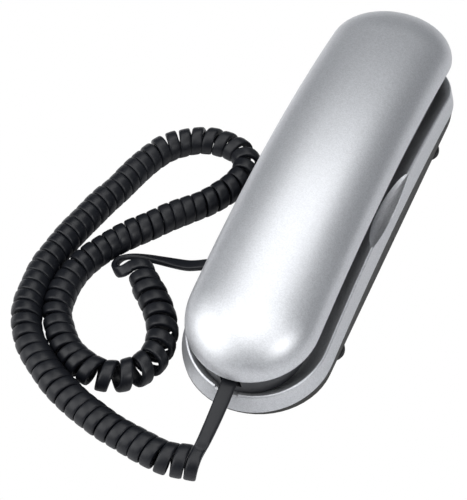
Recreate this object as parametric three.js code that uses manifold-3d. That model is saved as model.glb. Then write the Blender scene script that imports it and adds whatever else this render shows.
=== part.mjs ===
// A slim corded landline phone: an arched handset lying in an arched base, with a curly cord.
// Millimetres, +X right, +Y towards the earpiece end, +Z up, origin on the floor under the middle.
import * as THREE from 'three';
import { mergeVertices } from 'three/addons/utils/BufferGeometryUtils.js';
import Module from 'manifold-3d';

const wasm = await Module();
wasm.setup();

// ---------------------------------------------------------------- driving dimensions
const GAP = 0.3; // between pieces that touch
const WALL = 2.0; // moulded wall
const QUARTER_STEPS = 6; // segments in a quarter of a rounded end
const SIDE_STEPS = 12; // segments along a straight side

const HANDSET = { halfWidth: 26.2, halfLength: 103, crown: 15.1, roundness: 2.3 };
const FRONT = { topHalfWidth: 25.0, faceHalfWidth: 21.5, flatHeight: 22.6, floor: 2.2 };
const BASE = { seamHalfWidth: 30.0, rimHalfWidth: 28.6, wellHalfWidth: 21.6, halfLength: 101.6 };
const COVER = { bottom: 3.0, floor: 1.6, halfWidth: 29.5, wall: 1.8 };
const SCOOP = { radius: 58.5, depth: 4.5, y: -1.5, skin: 2.0 };
const NOTCH = { x: -2.3, width: 9.6, depth: 1.0 };

const KEY = { width: 9.0, length: 6.5, pitchX: 13.5, pitchY: 11.5, proud: 1.4, travel: 1.2 };
const KEY_CLEARANCE = 0.3;
const KEY_ROWS = [
  ['key_1', 'key_2', 'key_3'],
  ['key_4', 'key_5', 'key_6'],
  ['key_7', 'key_8', 'key_9'],
  ['key_star', 'key_0', 'key_hash'],
  ['key_flash', 'key_redial', 'key_mute'],
];

const HANDSET_BOARD = { width: 40, length: 88, bottom: 29.2, thick: 1.6 };
const RECEIVER = { y: 73.5, radius: 16, thick: 8 };
const MICROPHONE = { y: -73, radius: 4.85, thick: 6.4 };
const HANDSET_SCREWS = { upper_handset_screw: 50, lower_handset_screw: -52 };
const JACK = { width: 11.2, height: 7.2, depth: 12.5, mouthWidth: 8.2, mouthHeight: 6.2, back: 1.2 };
const PLUG = { width: 7.6, height: 5.5, length: 11.0 };
const HANDSET_JACK_Z = 21.0;
const HANDSET_JACK_Y = -94.6;
const BASE_JACK = { y: -41.4, z: 9.2, faceX: -27.7 };
const LINE_JACK = { y: -22, z: 9.4, width: 13, height: 8.2, depth: 14, mouthWidth: 9.8, mouthHeight: 6.8 };

const FOOT = { radius: 5.5, x: 24.8, lowerY: -58, upperY: 57 };
const BASE_SCREW = { x: 20.5, lowerY: -67, upperY: 40 };
const SCREW = { headRadius: 2.7, headThick: 1.7, shankRadius: 1.3 };
const PLUNGER = { y: 42, side: 6.0, travel: 3.0, flangeRadius: 5.0, flangeBottom: 11.4, flangeThick: 1.2 };
const SPRING = { radius: 2.7, wire: 0.3, turns: 4.5, bottom: 4.9, top: 11.1 };
const KEYHOLE = { head: 4.5, slot: 2.1, run: 6.5, upperY: 54.5, lowerY: -45.5 };
const HANGER = { y: 84, width: 10, thick: 2.2, top: 13.4 };
const RINGER = { y: -68, radius: 13, bottom: 5.0, thick: 4.2 };
const RINGER_KNOB = { y: 10, z: 8.6, width: 3.4, height: 3.0, travel: 2.0 };

const CORD = { width: 4.8, thick: 2.4, coilDiameter: 11.6 };

// ---------------------------------------------------------------- arched outlines
const arch = (low, rise, reach) => (y) => low + rise * (1 - (y / reach) ** 2);
const handsetEdge = arch(25.0, 12.3, 103);
const faceArch = arch(10.5, 14.0, 100);
const handsetFace = (y) => Math.min(faceArch(y), FRONT.flatHeight);
const rimHeight = arch(11.8, 14.2, 101.2);
const seamHeight = arch(4.9, 10.3, BASE.halfLength);
const wellHeight = arch(5.2, 15.2, 101);

// One ring of a stadium outline, from the lower tip, anticlockwise seen from above.
function stadium(halfWidth, halfLength, heightAt) {
  const straight = halfLength - halfWidth;
  const half = [];
  for (let i = 0; i < QUARTER_STEPS; i++) {
    const a = (Math.PI / 2) * (i / QUARTER_STEPS);
    half.push([halfWidth * Math.sin(a), -straight - halfWidth * Math.cos(a)]);
  }
  for (let i = 0; i <= SIDE_STEPS; i++) {
    half.push([halfWidth, -straight + (2 * straight * i) / SIDE_STEPS]);
  }
  for (let i = 1; i <= QUARTER_STEPS; i++) {
    const a = (Math.PI / 2) * (i / QUARTER_STEPS);
    half.push([halfWidth * Math.cos(a), straight + halfWidth * Math.sin(a)]);
  }
  const mirrored = half.slice(1, -1).reverse().map(([x, y]) => [-x, y]);
  return [...half, ...mirrored].map(([x, y]) => new THREE.Vector3(x, y, heightAt(y)));
}

// A closed surface through a list of rings, its first and last ring filled across.
function loft(rings) {
  const count = rings[0].length;
  const triangles = [];
  for (let r = 0; r + 1 < rings.length; r++) {
    for (let k = 0; k < count; k++) {
      const next = (k + 1) % count;
      const [a, b, c, d] = [r * count + k, r * count + next, (r + 1) * count + next, (r + 1) * count + k];
      triangles.push([a, b, c], [a, c, d]);
    }
  }
  const fill = (start, flip) => {
    for (let k = 0; k < count / 2; k++) {
      const a = start + k;
      const b = start + k + 1;
      const c = start + count - k - 1;
      const d = start + ((count - k) % count);
      triangles.push(flip ? [a, b, c] : [a, c, b], flip ? [a, c, d] : [a, d, c]);
    }
  };
  fill(0, false);
  fill((rings.length - 1) * count, true);
  const geometry = new THREE.BufferGeometry();
  const flat = rings.flat().flatMap((p) => [p.x, p.y, p.z]);
  geometry.setAttribute('position', new THREE.Float32BufferAttribute(flat, 3));
  geometry.setIndex(triangles.flat());
  return facingOut(geometry);
}

function signedVolume(geometry) {
  const p = geometry.getAttribute('position');
  const index = geometry.getIndex();
  const corner = (i) => new THREE.Vector3().fromBufferAttribute(p, index.getX(i));
  let sum = 0;
  for (let i = 0; i < index.count; i += 3) {
    sum += corner(i).dot(corner(i + 1).cross(corner(i + 2))) / 6;
  }
  return sum;
}

function facingOut(geometry) {
  if (signedVolume(geometry) > 0) return geometry;
  const index = geometry.getIndex().array;
  for (let i = 0; i < index.length; i += 3) {
    [index[i], index[i + 1]] = [index[i + 1], index[i]];
  }
  return geometry;
}

// ---------------------------------------------------------------- solids
function solid(geometry) {
  const bare = geometry.clone();
  bare.deleteAttribute('normal');
  bare.deleteAttribute('uv');
  const merged = mergeVertices(bare, 1e-4);
  const index = merged.getIndex().array;
  const kept = [];
  for (let i = 0; i < index.length; i += 3) {
    const [a, b, c] = [index[i], index[i + 1], index[i + 2]];
    if (a !== b && b !== c && c !== a) kept.push(a, b, c);
  }
  return new wasm.Manifold(new wasm.Mesh({
    numProp: 3,
    vertProperties: new Float32Array(merged.getAttribute('position').array),
    triVerts: new Uint32Array(kept),
  }));
}

function geometryOf(manifold) {
  const mesh = manifold.getMesh();
  const geometry = new THREE.BufferGeometry();
  geometry.setAttribute('position', new THREE.BufferAttribute(new Float32Array(mesh.vertProperties), 3));
  geometry.setIndex(new THREE.BufferAttribute(new Uint32Array(mesh.triVerts), 1));
  geometry.computeVertexNormals();
  return geometry;
}

const join = (...shapes) => shapes.reduce((sum, shape) => sum.add(shape));
const cut = (body, ...tools) => tools.reduce((rest, tool) => rest.subtract(tool), body);

// A box given by its low and high corners.
function block(x0, x1, y0, y1, z0, z1) {
  const geometry = new THREE.BoxGeometry(x1 - x0, y1 - y0, z1 - z0);
  geometry.translate((x0 + x1) / 2, (y0 + y1) / 2, (z0 + z1) / 2);
  return solid(geometry);
}

// An upright cylinder from z0 to z1.
function post(radius, x, y, z0, z1, sides = 20) {
  const geometry = new THREE.CylinderGeometry(radius, radius, z1 - z0, sides);
  geometry.rotateX(Math.PI / 2);
  geometry.translate(x, y, (z0 + z1) / 2);
  return solid(geometry);
}

// A solid of revolution about Z from a closed profile of [radius, height] pairs.
function turned(profile, sides = 24) {
  const points = profile.map(([r, z]) => new THREE.Vector2(r, z));
  const geometry = new THREE.LatheGeometry(points, sides);
  geometry.deleteAttribute('normal');
  geometry.deleteAttribute('uv');
  const merged = mergeVertices(geometry, 1e-4);
  merged.rotateX(Math.PI / 2);
  return solid(facingOut(merged));
}

// Moves a shape that was drawn upright onto the sloping handset face at y.
function onFace(manifold, y) {
  const slope = (faceArch(y + 0.5) - faceArch(y - 0.5));
  const tilt = THREE.MathUtils.radToDeg(Math.atan(slope));
  return manifold.rotate([tilt, 0, 0]).translate([0, y, faceArch(y)]);
}

// ---------------------------------------------------------------- materials
const finish = (color, roughness, metalness) => ({ color, roughness, metalness });
const SILVER = finish(0xb9bbbf, 0.32, 0.75);
const CHARCOAL = finish(0x35363a, 0.45, 0.0);
const COVER_GREY = finish(0x4b4a45, 0.5, 0.0);
const RUBBER = finish(0x17171a, 0.8, 0.0);
const CORD_BLACK = finish(0x25272d, 0.42, 0.0);
const BOARD_GREEN = finish(0x1f5a38, 0.5, 0.0);
const STEEL = finish(0x9a9ca0, 0.3, 1.0);
const CLEAR = finish(0xcfd6d8, 0.15, 0.0);
const KEY_GREY = finish(0xd7d8da, 0.5, 0.0);

const phone = new THREE.Group();
const handset = new THREE.Group();
const base = new THREE.Group();
const cord = new THREE.Group();
phone.add(handset, base, cord);

function piece(group, name, shape, look) {
  const geometry = shape instanceof wasm.Manifold ? geometryOf(shape) : shape;
  const mesh = new THREE.Mesh(geometry, new THREE.MeshStandardMaterial({ ...look }));
  mesh.name = name;
  group.add(mesh);
}

// ---------------------------------------------------------------- handset shells
function domeRings(inset, steps) {
  const rings = [];
  for (let i = 0; i <= steps; i++) {
    const a = (Math.PI / 2) * (1 - i / steps);
    const across = Math.cos(a) ** (2 / HANDSET.roundness);
    const up = (HANDSET.crown - inset) * Math.sin(a) ** (2 / HANDSET.roundness);
    const halfWidth = (HANDSET.halfWidth - inset) * (i === 0 ? 0 : across);
    const spine = HANDSET.halfLength - HANDSET.halfWidth;
    rings.push(stadium(halfWidth, spine + halfWidth, (y) => handsetEdge(y) + up));
  }
  return rings;
}

function screwBoss(y, bottom) {
  const top = handsetEdge(y) + HANDSET.crown - WALL + 0.6;
  return post(3.6, 0, y, bottom, top);
}

function handsetBackShell() {
  const shell = solid(loft([...domeRings(0, 7), ...domeRings(WALL, 6).reverse()]));
  let body = shell;
  for (const y of Object.values(HANDSET_SCREWS)) {
    body = join(body, screwBoss(y, 27.6));
    body = cut(body, post(SCREW.shankRadius + GAP, 0, y, 27, 40, 12));
  }
  return body;
}

function handsetFrontShell() {
  const spine = HANDSET.halfLength - HANDSET.halfWidth;
  const ring = (halfWidth, heightAt) => stadium(halfWidth, spine + halfWidth, heightAt);
  const rim = (y) => handsetEdge(y) - GAP;
  let body = solid(loft([
    ring(FRONT.faceHalfWidth - 1.2, handsetFace),
    ring(FRONT.faceHalfWidth, (y) => handsetFace(y) + 1.2),
    ring(FRONT.topHalfWidth, rim),
    ring(FRONT.topHalfWidth - WALL, rim),
    ring(FRONT.faceHalfWidth - WALL, (y) => handsetFace(y) + FRONT.floor),
  ]));
  const seat = RECEIVER.radius + 0.4;
  body = join(body, onFace(turned([[seat, 1.2], [seat + 1.8, 1.2], [seat + 1.8, 8], [seat, 8], [seat, 1.2]]), RECEIVER.y));
  for (const y of Object.values(HANDSET_SCREWS)) {
    const face = handsetFace(y);
    body = join(body, post(3.6, 0, y, face + 1.4, 27.2));
    body = cut(body, post(3.1, 0, y, face - 2, face + 2.9, 16), post(SCREW.shankRadius + GAP, 0, y, face, 28, 12));
  }
  for (const [x, y] of keyPlaces()) {
    const w = KEY.width / 2 + KEY_CLEARANCE;
    const l = KEY.length / 2 + KEY_CLEARANCE;
    body = cut(body, block(x - w, x + w, y - l, y + l, 20, 27));
  }
  const hole = (x, y) => post(0.9, x, y, -2, 4, 8);
  body = cut(body, onFace(hole(0, 0), RECEIVER.y));
  for (let i = 0; i < 6; i++) {
    const a = (Math.PI / 3) * i;
    body = cut(body, onFace(hole(5 * Math.cos(a), 5 * Math.sin(a)), RECEIVER.y));
  }
  body = cut(body, onFace(hole(-2.2, 0), MICROPHONE.y), onFace(hole(2.2, 0), MICROPHONE.y));
  const mouthX = JACK.mouthWidth / 2 + 0.1;
  const mouthZ = JACK.mouthHeight / 2 + 0.1;
  return cut(body, block(-mouthX, mouthX, -108, -94, HANDSET_JACK_Z - mouthZ, HANDSET_JACK_Z + mouthZ));
}

// ---------------------------------------------------------------- handset inner pieces
// The keypad is seen from below, so its left column lies at +X.
function keyPlaces() {
  const places = [];
  KEY_ROWS.forEach((row, r) => row.forEach((name, c) => {
    places.push([(1 - c) * KEY.pitchX, (2 - r) * KEY.pitchY, name]);
  }));
  return places;
}

function keyCap(x, y) {
  const w = KEY.width / 2;
  const l = KEY.length / 2;
  const face = FRONT.flatHeight;
  const flange = face + FRONT.floor + GAP;
  return join(
    block(x - w, x + w, y - l, y + l, face - KEY.proud, flange + 0.5),
    block(x - w - 0.9, x + w + 0.9, y - l - 0.9, y + l + 0.9, flange, flange + 0.9),
  );
}

function handsetBoard() {
  const { width, length, bottom, thick } = HANDSET_BOARD;
  const top = bottom + thick;
  return join(
    block(-width / 2, width / 2, -length / 2, length / 2, bottom, top),
    block(-7, 7, -8, 8, top - 0.2, top + 2.2),
    block(8, 14, 18, 24, top - 0.2, top + 5),
    post(3, -11, 24, top - 0.2, top + 6, 16),
    post(3, -11, -26, top - 0.2, top + 6, 16),
  );
}

function modularJack(size) {
  const { width, height, depth, mouthWidth, mouthHeight } = size;
  return cut(
    block(-width / 2, width / 2, 0, depth, -height / 2, height / 2),
    block(-mouthWidth / 2, mouthWidth / 2, -1, depth - JACK.back, -mouthHeight / 2, mouthHeight / 2),
    block(-1.6, 1.6, -1, depth * 0.6, -height, 0),
  );
}

// A modular plug with its crimped tail of flat cord; the tail points along -Y.
function modularPlug(tail) {
  const { width, height, length } = PLUG;
  return join(
    block(-width / 2, width / 2, 0, length, -height / 2, height / 2),
    block(-1.4, 1.4, 1.5, length - 2, height / 2 - 0.2, height / 2 + 0.25),
    block(-CORD.width / 2, CORD.width / 2, -tail, 0.4, -CORD.thick / 2, CORD.thick / 2),
  );
}

function screw(x, y, headBottom, tip) {
  const headTop = headBottom + SCREW.headThick;
  const recess = 0.9;
  return cut(
    join(
      post(SCREW.headRadius, x, y, headBottom, headTop, 16),
      post(SCREW.shankRadius, x, y, headTop - 0.2, tip, 12),
    ),
    block(x - 1.5, x + 1.5, y - 0.35, y + 0.35, headBottom - 1, headBottom + recess),
    block(x - 0.35, x + 0.35, y - 1.5, y + 1.5, headBottom - 1, headBottom + recess),
  );
}

piece(handset, 'handset_back_shell', handsetBackShell(), SILVER);
piece(handset, 'handset_front_shell', handsetFrontShell(), CHARCOAL);
for (const [x, y, name] of keyPlaces()) piece(handset, name, keyCap(x, y), KEY_GREY);
piece(handset, 'keypad_mat', block(-19.5, 19.5, -29, 29, 27.7, 28.9), RUBBER);
piece(handset, 'handset_circuit_board', handsetBoard(), BOARD_GREEN);
piece(handset, 'receiver_gasket', onFace(
  turned([[11, 2.5], [15.2, 2.5], [15.2, 3.7], [11, 3.7], [11, 2.5]]), RECEIVER.y), RUBBER);
piece(handset, 'receiver_capsule', onFace(
  turned([[0, 4], [14.5, 4], [RECEIVER.radius, 5.5], [RECEIVER.radius, 9], [10, 9], [9, 4 + RECEIVER.thick],
    [0, 4 + RECEIVER.thick]]), RECEIVER.y), STEEL);
piece(handset, 'microphone_boot', onFace(
  turned([[1.5, 2.5], [6.5, 2.5], [6.5, 9.5], [5.2, 9.5], [5.2, 3.6], [1.5, 3.6], [1.5, 2.5]]), MICROPHONE.y), RUBBER);
piece(handset, 'microphone_capsule', onFace(
  turned([[0, 3.9], [MICROPHONE.radius, 3.9], [MICROPHONE.radius, 3.9 + MICROPHONE.thick],
    [0, 3.9 + MICROPHONE.thick]], 16), MICROPHONE.y), STEEL);
piece(handset, 'handset_cord_jack',
  modularJack(JACK).translate([0, HANDSET_JACK_Y, HANDSET_JACK_Z]), CLEAR);
piece(handset, 'handset_weight', block(-12, 12, -16, 16, 40.5, 46.5), STEEL);
for (const [name, y] of Object.entries(HANDSET_SCREWS)) {
  piece(handset, name, screw(0, y, handsetFace(y) + 0.9, 38), STEEL);
}
piece(handset, 'handset_cord_plug',
  modularPlug(6.9).translate([0, HANDSET_JACK_Y - 0.1, HANDSET_JACK_Z]), CLEAR);

// ---------------------------------------------------------------- base shells
function scoopCylinder(radius) {
  const geometry = new THREE.CylinderGeometry(radius, radius, 90, 96);
  geometry.rotateZ(Math.PI / 2);
  geometry.translate(0, SCOOP.y, rimHeight(0) + SCOOP.radius - SCOOP.depth);
  return solid(geometry);
}

function baseTopShell() {
  const spine = BASE.halfLength - BASE.seamHalfWidth;
  const ring = (halfWidth, heightAt, reach = spine) => stadium(halfWidth, reach + halfWidth, heightAt);
  const outer = [
    ring(BASE.wellHalfWidth - 2.5, wellHeight),
    ring(BASE.wellHalfWidth, (y) => wellHeight(y) + 0.5),
    ring(BASE.rimHalfWidth - 1.3, (y) => rimHeight(y) - 0.2, spine + 1),
    ring(BASE.rimHalfWidth - 0.6, rimHeight, spine + 1),
    ring(BASE.rimHalfWidth, (y) => rimHeight(y) - 0.7, spine + 1),
    ring(BASE.seamHalfWidth, seamHeight),
  ];
  const inner = [
    ring(BASE.seamHalfWidth - COVER.wall, seamHeight),
    ring(BASE.rimHalfWidth - WALL, (y) => rimHeight(y) - 2.6, spine + 0.5),
    ring(BASE.wellHalfWidth - 0.6, (y) => wellHeight(y) - 1.6),
    ring(BASE.wellHalfWidth - 3, (y) => wellHeight(y) - 2.0),
  ];
  const shell = solid(loft([...outer, ...inner]));
  const full = solid(loft(outer));
  let body = join(shell, full.intersect(scoopCylinder(SCOOP.radius + SCOOP.skin)));
  body = cut(body, scoopCylinder(SCOOP.radius));
  const bossTop = (y) => wellHeight(y) - 0.6;
  for (const y of [BASE_SCREW.lowerY, BASE_SCREW.upperY]) {
    for (const x of [-BASE_SCREW.x, BASE_SCREW.x]) {
      body = join(body, post(3.0, x, y, 9.0, bossTop(y), 16));
      body = cut(body, post(SCREW.shankRadius + GAP, x, y, 8, bossTop(y) - 1.2, 12));
    }
  }
  const hatch = PLUNGER.side / 2 + GAP;
  body = cut(body, block(-hatch, hatch, PLUNGER.y - hatch, PLUNGER.y + hatch, 8, 30));
  const slotX = HANGER.width / 2 + GAP;
  const slotY = HANGER.thick / 2 + GAP;
  body = cut(body, block(-slotX, slotX, HANGER.y - slotY, HANGER.y + slotY, 3, 20));
  const half = NOTCH.width / 2;
  return cut(body, block(NOTCH.x - half, NOTCH.x + half, -106, -90, rimHeight(101.2) - NOTCH.depth, 20));
}

function keyhole(y) {
  return join(
    post(KEYHOLE.head, 0, y, 2, 6, 20),
    block(-KEYHOLE.slot, KEYHOLE.slot, y, y + KEYHOLE.run, 2, 6),
    post(KEYHOLE.slot, 0, y + KEYHOLE.run, 2, 6, 16),
  );
}

function baseBottomCover() {
  const spine = BASE.halfLength - BASE.seamHalfWidth;
  const ring = (halfWidth, heightAt) => stadium(halfWidth, spine + halfWidth, heightAt);
  const top = (y) => seamHeight(y) - GAP;
  const inside = COVER.bottom + COVER.floor - 0.05;
  let body = solid(loft([
    ring(COVER.halfWidth - 0.8, () => COVER.bottom),
    ring(COVER.halfWidth, () => COVER.bottom + 0.7),
    ring(BASE.seamHalfWidth, top),
    ring(BASE.seamHalfWidth - COVER.wall, top),
    ring(COVER.halfWidth - COVER.wall, () => inside),
  ]));
  for (const y of [BASE_SCREW.lowerY, BASE_SCREW.upperY]) {
    for (const x of [-BASE_SCREW.x, BASE_SCREW.x]) {
      body = join(body, post(4.0, x, y, inside - 0.4, 8.7, 20));
      body = cut(body, post(3.1, x, y, 2, 5.5, 16), post(SCREW.shankRadius + GAP, x, y, 5, 9, 12));
    }
  }
  for (const x of [-8, 20]) {
    for (const y of [-26, 27]) body = join(body, post(1.8, x, y, inside - 0.4, 7.9, 12));
  }
  body = cut(body, keyhole(KEYHOLE.upperY), keyhole(KEYHOLE.lowerY));
  for (let i = 0; i < 6; i++) {
    const a = (Math.PI / 3) * i;
    body = cut(body, post(1.1, 6 * Math.cos(a), RINGER.y + 6 * Math.sin(a), 2, 6, 8));
  }
  const mouth = (spec) => block(
    -33, -26,
    spec.y - spec.width / 2, spec.y + spec.width / 2,
    spec.z - spec.height / 2, spec.z + spec.height / 2,
  );
  const knobSlot = RINGER_KNOB.width + 2 * RINGER_KNOB.travel + 2 * GAP;
  return cut(
    body,
    mouth({ y: BASE_JACK.y, z: BASE_JACK.z, width: JACK.mouthWidth + 0.2, height: JACK.mouthHeight + 0.2 }),
    mouth({ y: LINE_JACK.y, z: LINE_JACK.z, width: LINE_JACK.mouthWidth, height: LINE_JACK.mouthHeight }),
    mouth({ y: RINGER_KNOB.y, z: RINGER_KNOB.z, width: knobSlot, height: RINGER_KNOB.height + 2 * GAP }),
  );
}

// ---------------------------------------------------------------- base inner pieces
function baseBoard() {
  return join(
    block(-11.5, 24.0, -31, 32, 8.2, 9.8),
    block(-6, 6, -20, -2, 9.6, 12.4),
    block(10, 17, -24, -16, 9.6, 13.6),
    post(3, 14, 2, 9.6, 14.4, 16),
    post(3, 4, 20, 9.6, 14.0, 16),
  );
}

function hookPlunger() {
  const half = PLUNGER.side / 2;
  const bottom = PLUNGER.flangeBottom;
  return join(
    post(PLUNGER.flangeRadius, 0, PLUNGER.y, bottom, bottom + PLUNGER.flangeThick, 20),
    block(-half, half, PLUNGER.y - half, PLUNGER.y + half, bottom + 0.4, handsetFace(PLUNGER.y + half) - GAP),
  );
}

function hookSpring() {
  const height = SPRING.top - SPRING.bottom - 2 * SPRING.wire;
  const points = [];
  const steps = 10 * SPRING.turns;
  for (let i = 0; i <= steps; i++) {
    const a = (2 * Math.PI * SPRING.turns * i) / steps;
    const z = SPRING.bottom + SPRING.wire + (height * i) / steps;
    points.push(new THREE.Vector3(SPRING.radius * Math.cos(a), PLUNGER.y + SPRING.radius * Math.sin(a), z));
  }
  return tube(points, ellipse(SPRING.wire, SPRING.wire, 6), steps);
}

// ---------------------------------------------------------------- cord
function ellipse(halfWidth, halfThick, sides) {
  const corners = [];
  for (let i = 0; i < sides; i++) {
    const a = (2 * Math.PI * i) / sides;
    corners.push(new THREE.Vector2(halfWidth * Math.cos(a), halfThick * Math.sin(a)));
  }
  return new THREE.Shape(corners);
}

function tube(points, section, steps) {
  const extrudePath = new THREE.CatmullRomCurve3(points, false, 'centripetal');
  const geometry = new THREE.ExtrudeGeometry(section, { steps, extrudePath, bevelEnabled: false });
  geometry.deleteAttribute('normal');
  geometry.deleteAttribute('uv');
  return solid(facingOut(mergeVertices(geometry, 1e-4)));
}

// The flat lead from the handset's lower end down to the floor.
const HANDSET_LEAD = [
  [0, -102.1, 21.0], [-0.3, -105.2, 19.8], [-1.1, -110.8, 15.2], [-1.9, -116.5, 10.8],
  [-2.5, -121, 8.0], [-2.9, -124.4, 6.7],
];
// The axis of the curly stretch, which lies on the floor.
const COIL_AXIS = [
  [-4.6, -130.8], [-11.9, -132.2], [-18.9, -131.5], [-25.6, -130.3], [-32.7, -128.7], [-39.8, -127],
  [-47.3, -124.5], [-55.2, -121.5], [-65.2, -116.5], [-73.1, -111.2], [-80.9, -105], [-85.9, -99.7],
  [-90, -93.1], [-93.1, -85], [-94.7, -75.1], [-95.6, -64.7], [-94.8, -55.6], [-93, -45],
  [-90.8, -35.1], [-88.5, -25.1], [-85.8, -15.9], [-83.4, -5.6], [-80.6, 3.8], [-76.5, 12.6],
  [-70.4, 18.9], [-64.5, 22.6], [-58.5, 24.1], [-50.4, 23.7], [-43.4, 20.2], [-40.4, 13],
  [-41.4, 5.6], [-44.2, -1.5], [-48.7, -9.1], [-54.4, -15.9], [-60.1, -22.7], [-65.4, -30],
  [-70.8, -37.1], [-75.2, -44.4], [-79, -52.6], [-81.5, -60.1], [-82.4, -67.8], [-82.1, -75.2],
  [-80.2, -84], [-76.8, -90.9], [-71, -97.8], [-64.7, -102.3], [-57.5, -105.4], [-50.3, -106.2],
  [-43.4, -103.4], [-38.2, -98], [-36, -91], [-36.4, -83.8], [-38.6, -77.2], [-42.2, -71.4],
  [-47.2, -65.8], [-53.2, -61.4],
];
const COIL_HEIGHT = 6.0;
// The flat lead from the coil to the socket in the base's left side.
const BASE_LEAD = [
  [-55.8, -59.6, 4.6], [-61.5, -57, 3.6], [-66, -53, 3.2], [-66.6, -48, 3.2], [-63, -44.6, 3.2],
  [-56.5, -42.9, 3.2], [-50, -42.1, 3.4], [-43, -41.6, 4.6], [-37.6, -41.4, 7.0], [-33.6, -41.4, 8.8],
  [-30.6, -41.4, 9.2],
];
const along = (points) => points.map(([x, y, z]) => new THREE.Vector3(x, y, z));

const wideAcrossX = ellipse(CORD.width / 2, CORD.thick / 2, 8);
const wideUpright = ellipse(CORD.thick / 2, CORD.width / 2, 8);
const coilRadius = CORD.coilDiameter / 2;
const coilPoints = COIL_AXIS.map(([x, y]) => [x, y, COIL_HEIGHT]);

piece(base, 'base_top_shell', baseTopShell(), SILVER);
piece(base, 'base_bottom_cover', baseBottomCover(), COVER_GREY);
for (const [end, y] of [['lower', FOOT.lowerY], ['upper', FOOT.upperY]]) {
  for (const [side, x] of [['left', -FOOT.x], ['right', FOOT.x]]) {
    piece(base, `${end}_${side}_foot`, post(FOOT.radius, x, y, 0, COVER.bottom - GAP, 24), RUBBER);
  }
}
for (const [end, y] of [['lower', BASE_SCREW.lowerY], ['upper', BASE_SCREW.upperY]]) {
  for (const [side, x] of [['left', -BASE_SCREW.x], ['right', BASE_SCREW.x]]) {
    piece(base, `${end}_${side}_base_screw`, screw(x, y, 3.5, wellHeight(y) - 2.2), STEEL);
  }
}
piece(base, 'base_circuit_board', baseBoard(), BOARD_GREEN);
piece(base, 'hook_plunger', hookPlunger(), CHARCOAL);
piece(base, 'hook_spring', hookSpring(), STEEL);
piece(base, 'hook_switch', block(6.5, 16.0, PLUNGER.y - 3, PLUNGER.y + 3, 4.9, 10.4), CHARCOAL);
piece(base, 'hook_switch_lever', block(4.0, 16.0, PLUNGER.y - 2, PLUNGER.y + 2, 10.7, 11.1), STEEL);
piece(base, 'ringer', turned([[0, RINGER.bottom], [RINGER.radius, RINGER.bottom],
  [RINGER.radius, RINGER.bottom + 2.4], [RINGER.radius - 3, RINGER.bottom + RINGER.thick],
  [0, RINGER.bottom + RINGER.thick]]).translate([0, RINGER.y, 0]), CHARCOAL);
piece(base, 'ringer_switch', cut(
  block(-27.3, -22.5, RINGER_KNOB.y - 6, RINGER_KNOB.y + 6, 6, 11.4),
  block(-28, -24.5, RINGER_KNOB.y - 4.2, RINGER_KNOB.y + 4.2, 6.8, 10.4)), STEEL);
piece(base, 'ringer_switch_knob', block(-29.4, -25.0, RINGER_KNOB.y - RINGER_KNOB.width / 2,
  RINGER_KNOB.y + RINGER_KNOB.width / 2, RINGER_KNOB.z - RINGER_KNOB.height / 2,
  RINGER_KNOB.z + RINGER_KNOB.height / 2), RUBBER);
piece(base, 'line_jack', modularJack(LINE_JACK).rotate([0, 0, -90])
  .translate([BASE_JACK.faceX + 0.2, LINE_JACK.y, LINE_JACK.z]), CHARCOAL);
piece(base, 'base_cord_jack', modularJack(JACK).rotate([0, 0, -90])
  .translate([BASE_JACK.faceX + 0.2, BASE_JACK.y, BASE_JACK.z]), CHARCOAL);
piece(base, 'base_cord_plug', modularPlug(2.4).rotate([0, 0, -90])
  .translate([BASE_JACK.faceX, BASE_JACK.y, BASE_JACK.z]), CLEAR);
piece(base, 'base_weight', block(-17, 17, 64.5, 80.5, 5.0, 8.0), STEEL);
piece(base, 'handset_hanger_tab', join(
  block(-HANGER.width / 2, HANGER.width / 2, HANGER.y - 1.1, HANGER.y + 1.1, 5.6, HANGER.top),
  block(-7, 7, HANGER.y - 2.4, HANGER.y + 2.4, 5.0, 6.4)), CHARCOAL);

piece(cord, 'handset_cord_lead', tube(along(HANDSET_LEAD), wideAcrossX, 14), CORD_BLACK);
piece(cord, 'curly_cord', tube(along(coilPoints), ellipse(coilRadius, coilRadius, 10), 64), CORD_BLACK);
piece(cord, 'base_cord_lead', tube(along(BASE_LEAD), wideUpright, 20), CORD_BLACK);

export default phone;
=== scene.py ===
import math

import bmesh
import bpy
from bpy.props import FloatProperty, FloatVectorProperty, IntProperty, PointerProperty
from mathutils import Matrix, Vector


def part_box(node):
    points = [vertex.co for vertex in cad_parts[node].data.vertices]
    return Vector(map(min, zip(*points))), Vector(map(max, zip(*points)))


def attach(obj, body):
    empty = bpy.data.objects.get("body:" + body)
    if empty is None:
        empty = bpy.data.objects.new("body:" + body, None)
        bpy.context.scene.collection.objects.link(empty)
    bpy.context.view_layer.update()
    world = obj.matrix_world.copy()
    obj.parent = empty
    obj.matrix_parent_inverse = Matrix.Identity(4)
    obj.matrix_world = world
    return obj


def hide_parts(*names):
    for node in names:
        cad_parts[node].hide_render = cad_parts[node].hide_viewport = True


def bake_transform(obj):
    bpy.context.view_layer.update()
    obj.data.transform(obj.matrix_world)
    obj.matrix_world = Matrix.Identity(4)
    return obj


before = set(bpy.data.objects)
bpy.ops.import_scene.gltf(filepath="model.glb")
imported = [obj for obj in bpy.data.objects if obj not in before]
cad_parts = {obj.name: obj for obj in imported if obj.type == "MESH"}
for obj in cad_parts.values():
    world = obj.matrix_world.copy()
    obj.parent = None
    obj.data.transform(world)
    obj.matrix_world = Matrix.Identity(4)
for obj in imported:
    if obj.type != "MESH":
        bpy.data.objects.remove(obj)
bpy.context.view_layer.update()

bl_info = {
    "name": "Corded Phone Builder",
    "version": (1, 0, 0),
    "blender": (4, 5, 0),
    "location": "View3D > Sidebar > Corded Phone",
    "description": "Builds a slim corded phone with an arched handset, its cradle base and a curly cord",
    "category": "Object",
}

MM = 0.001


def mm(*values):
    """Millimetres to metres, as a vector."""
    return Vector(values) * MM


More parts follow.
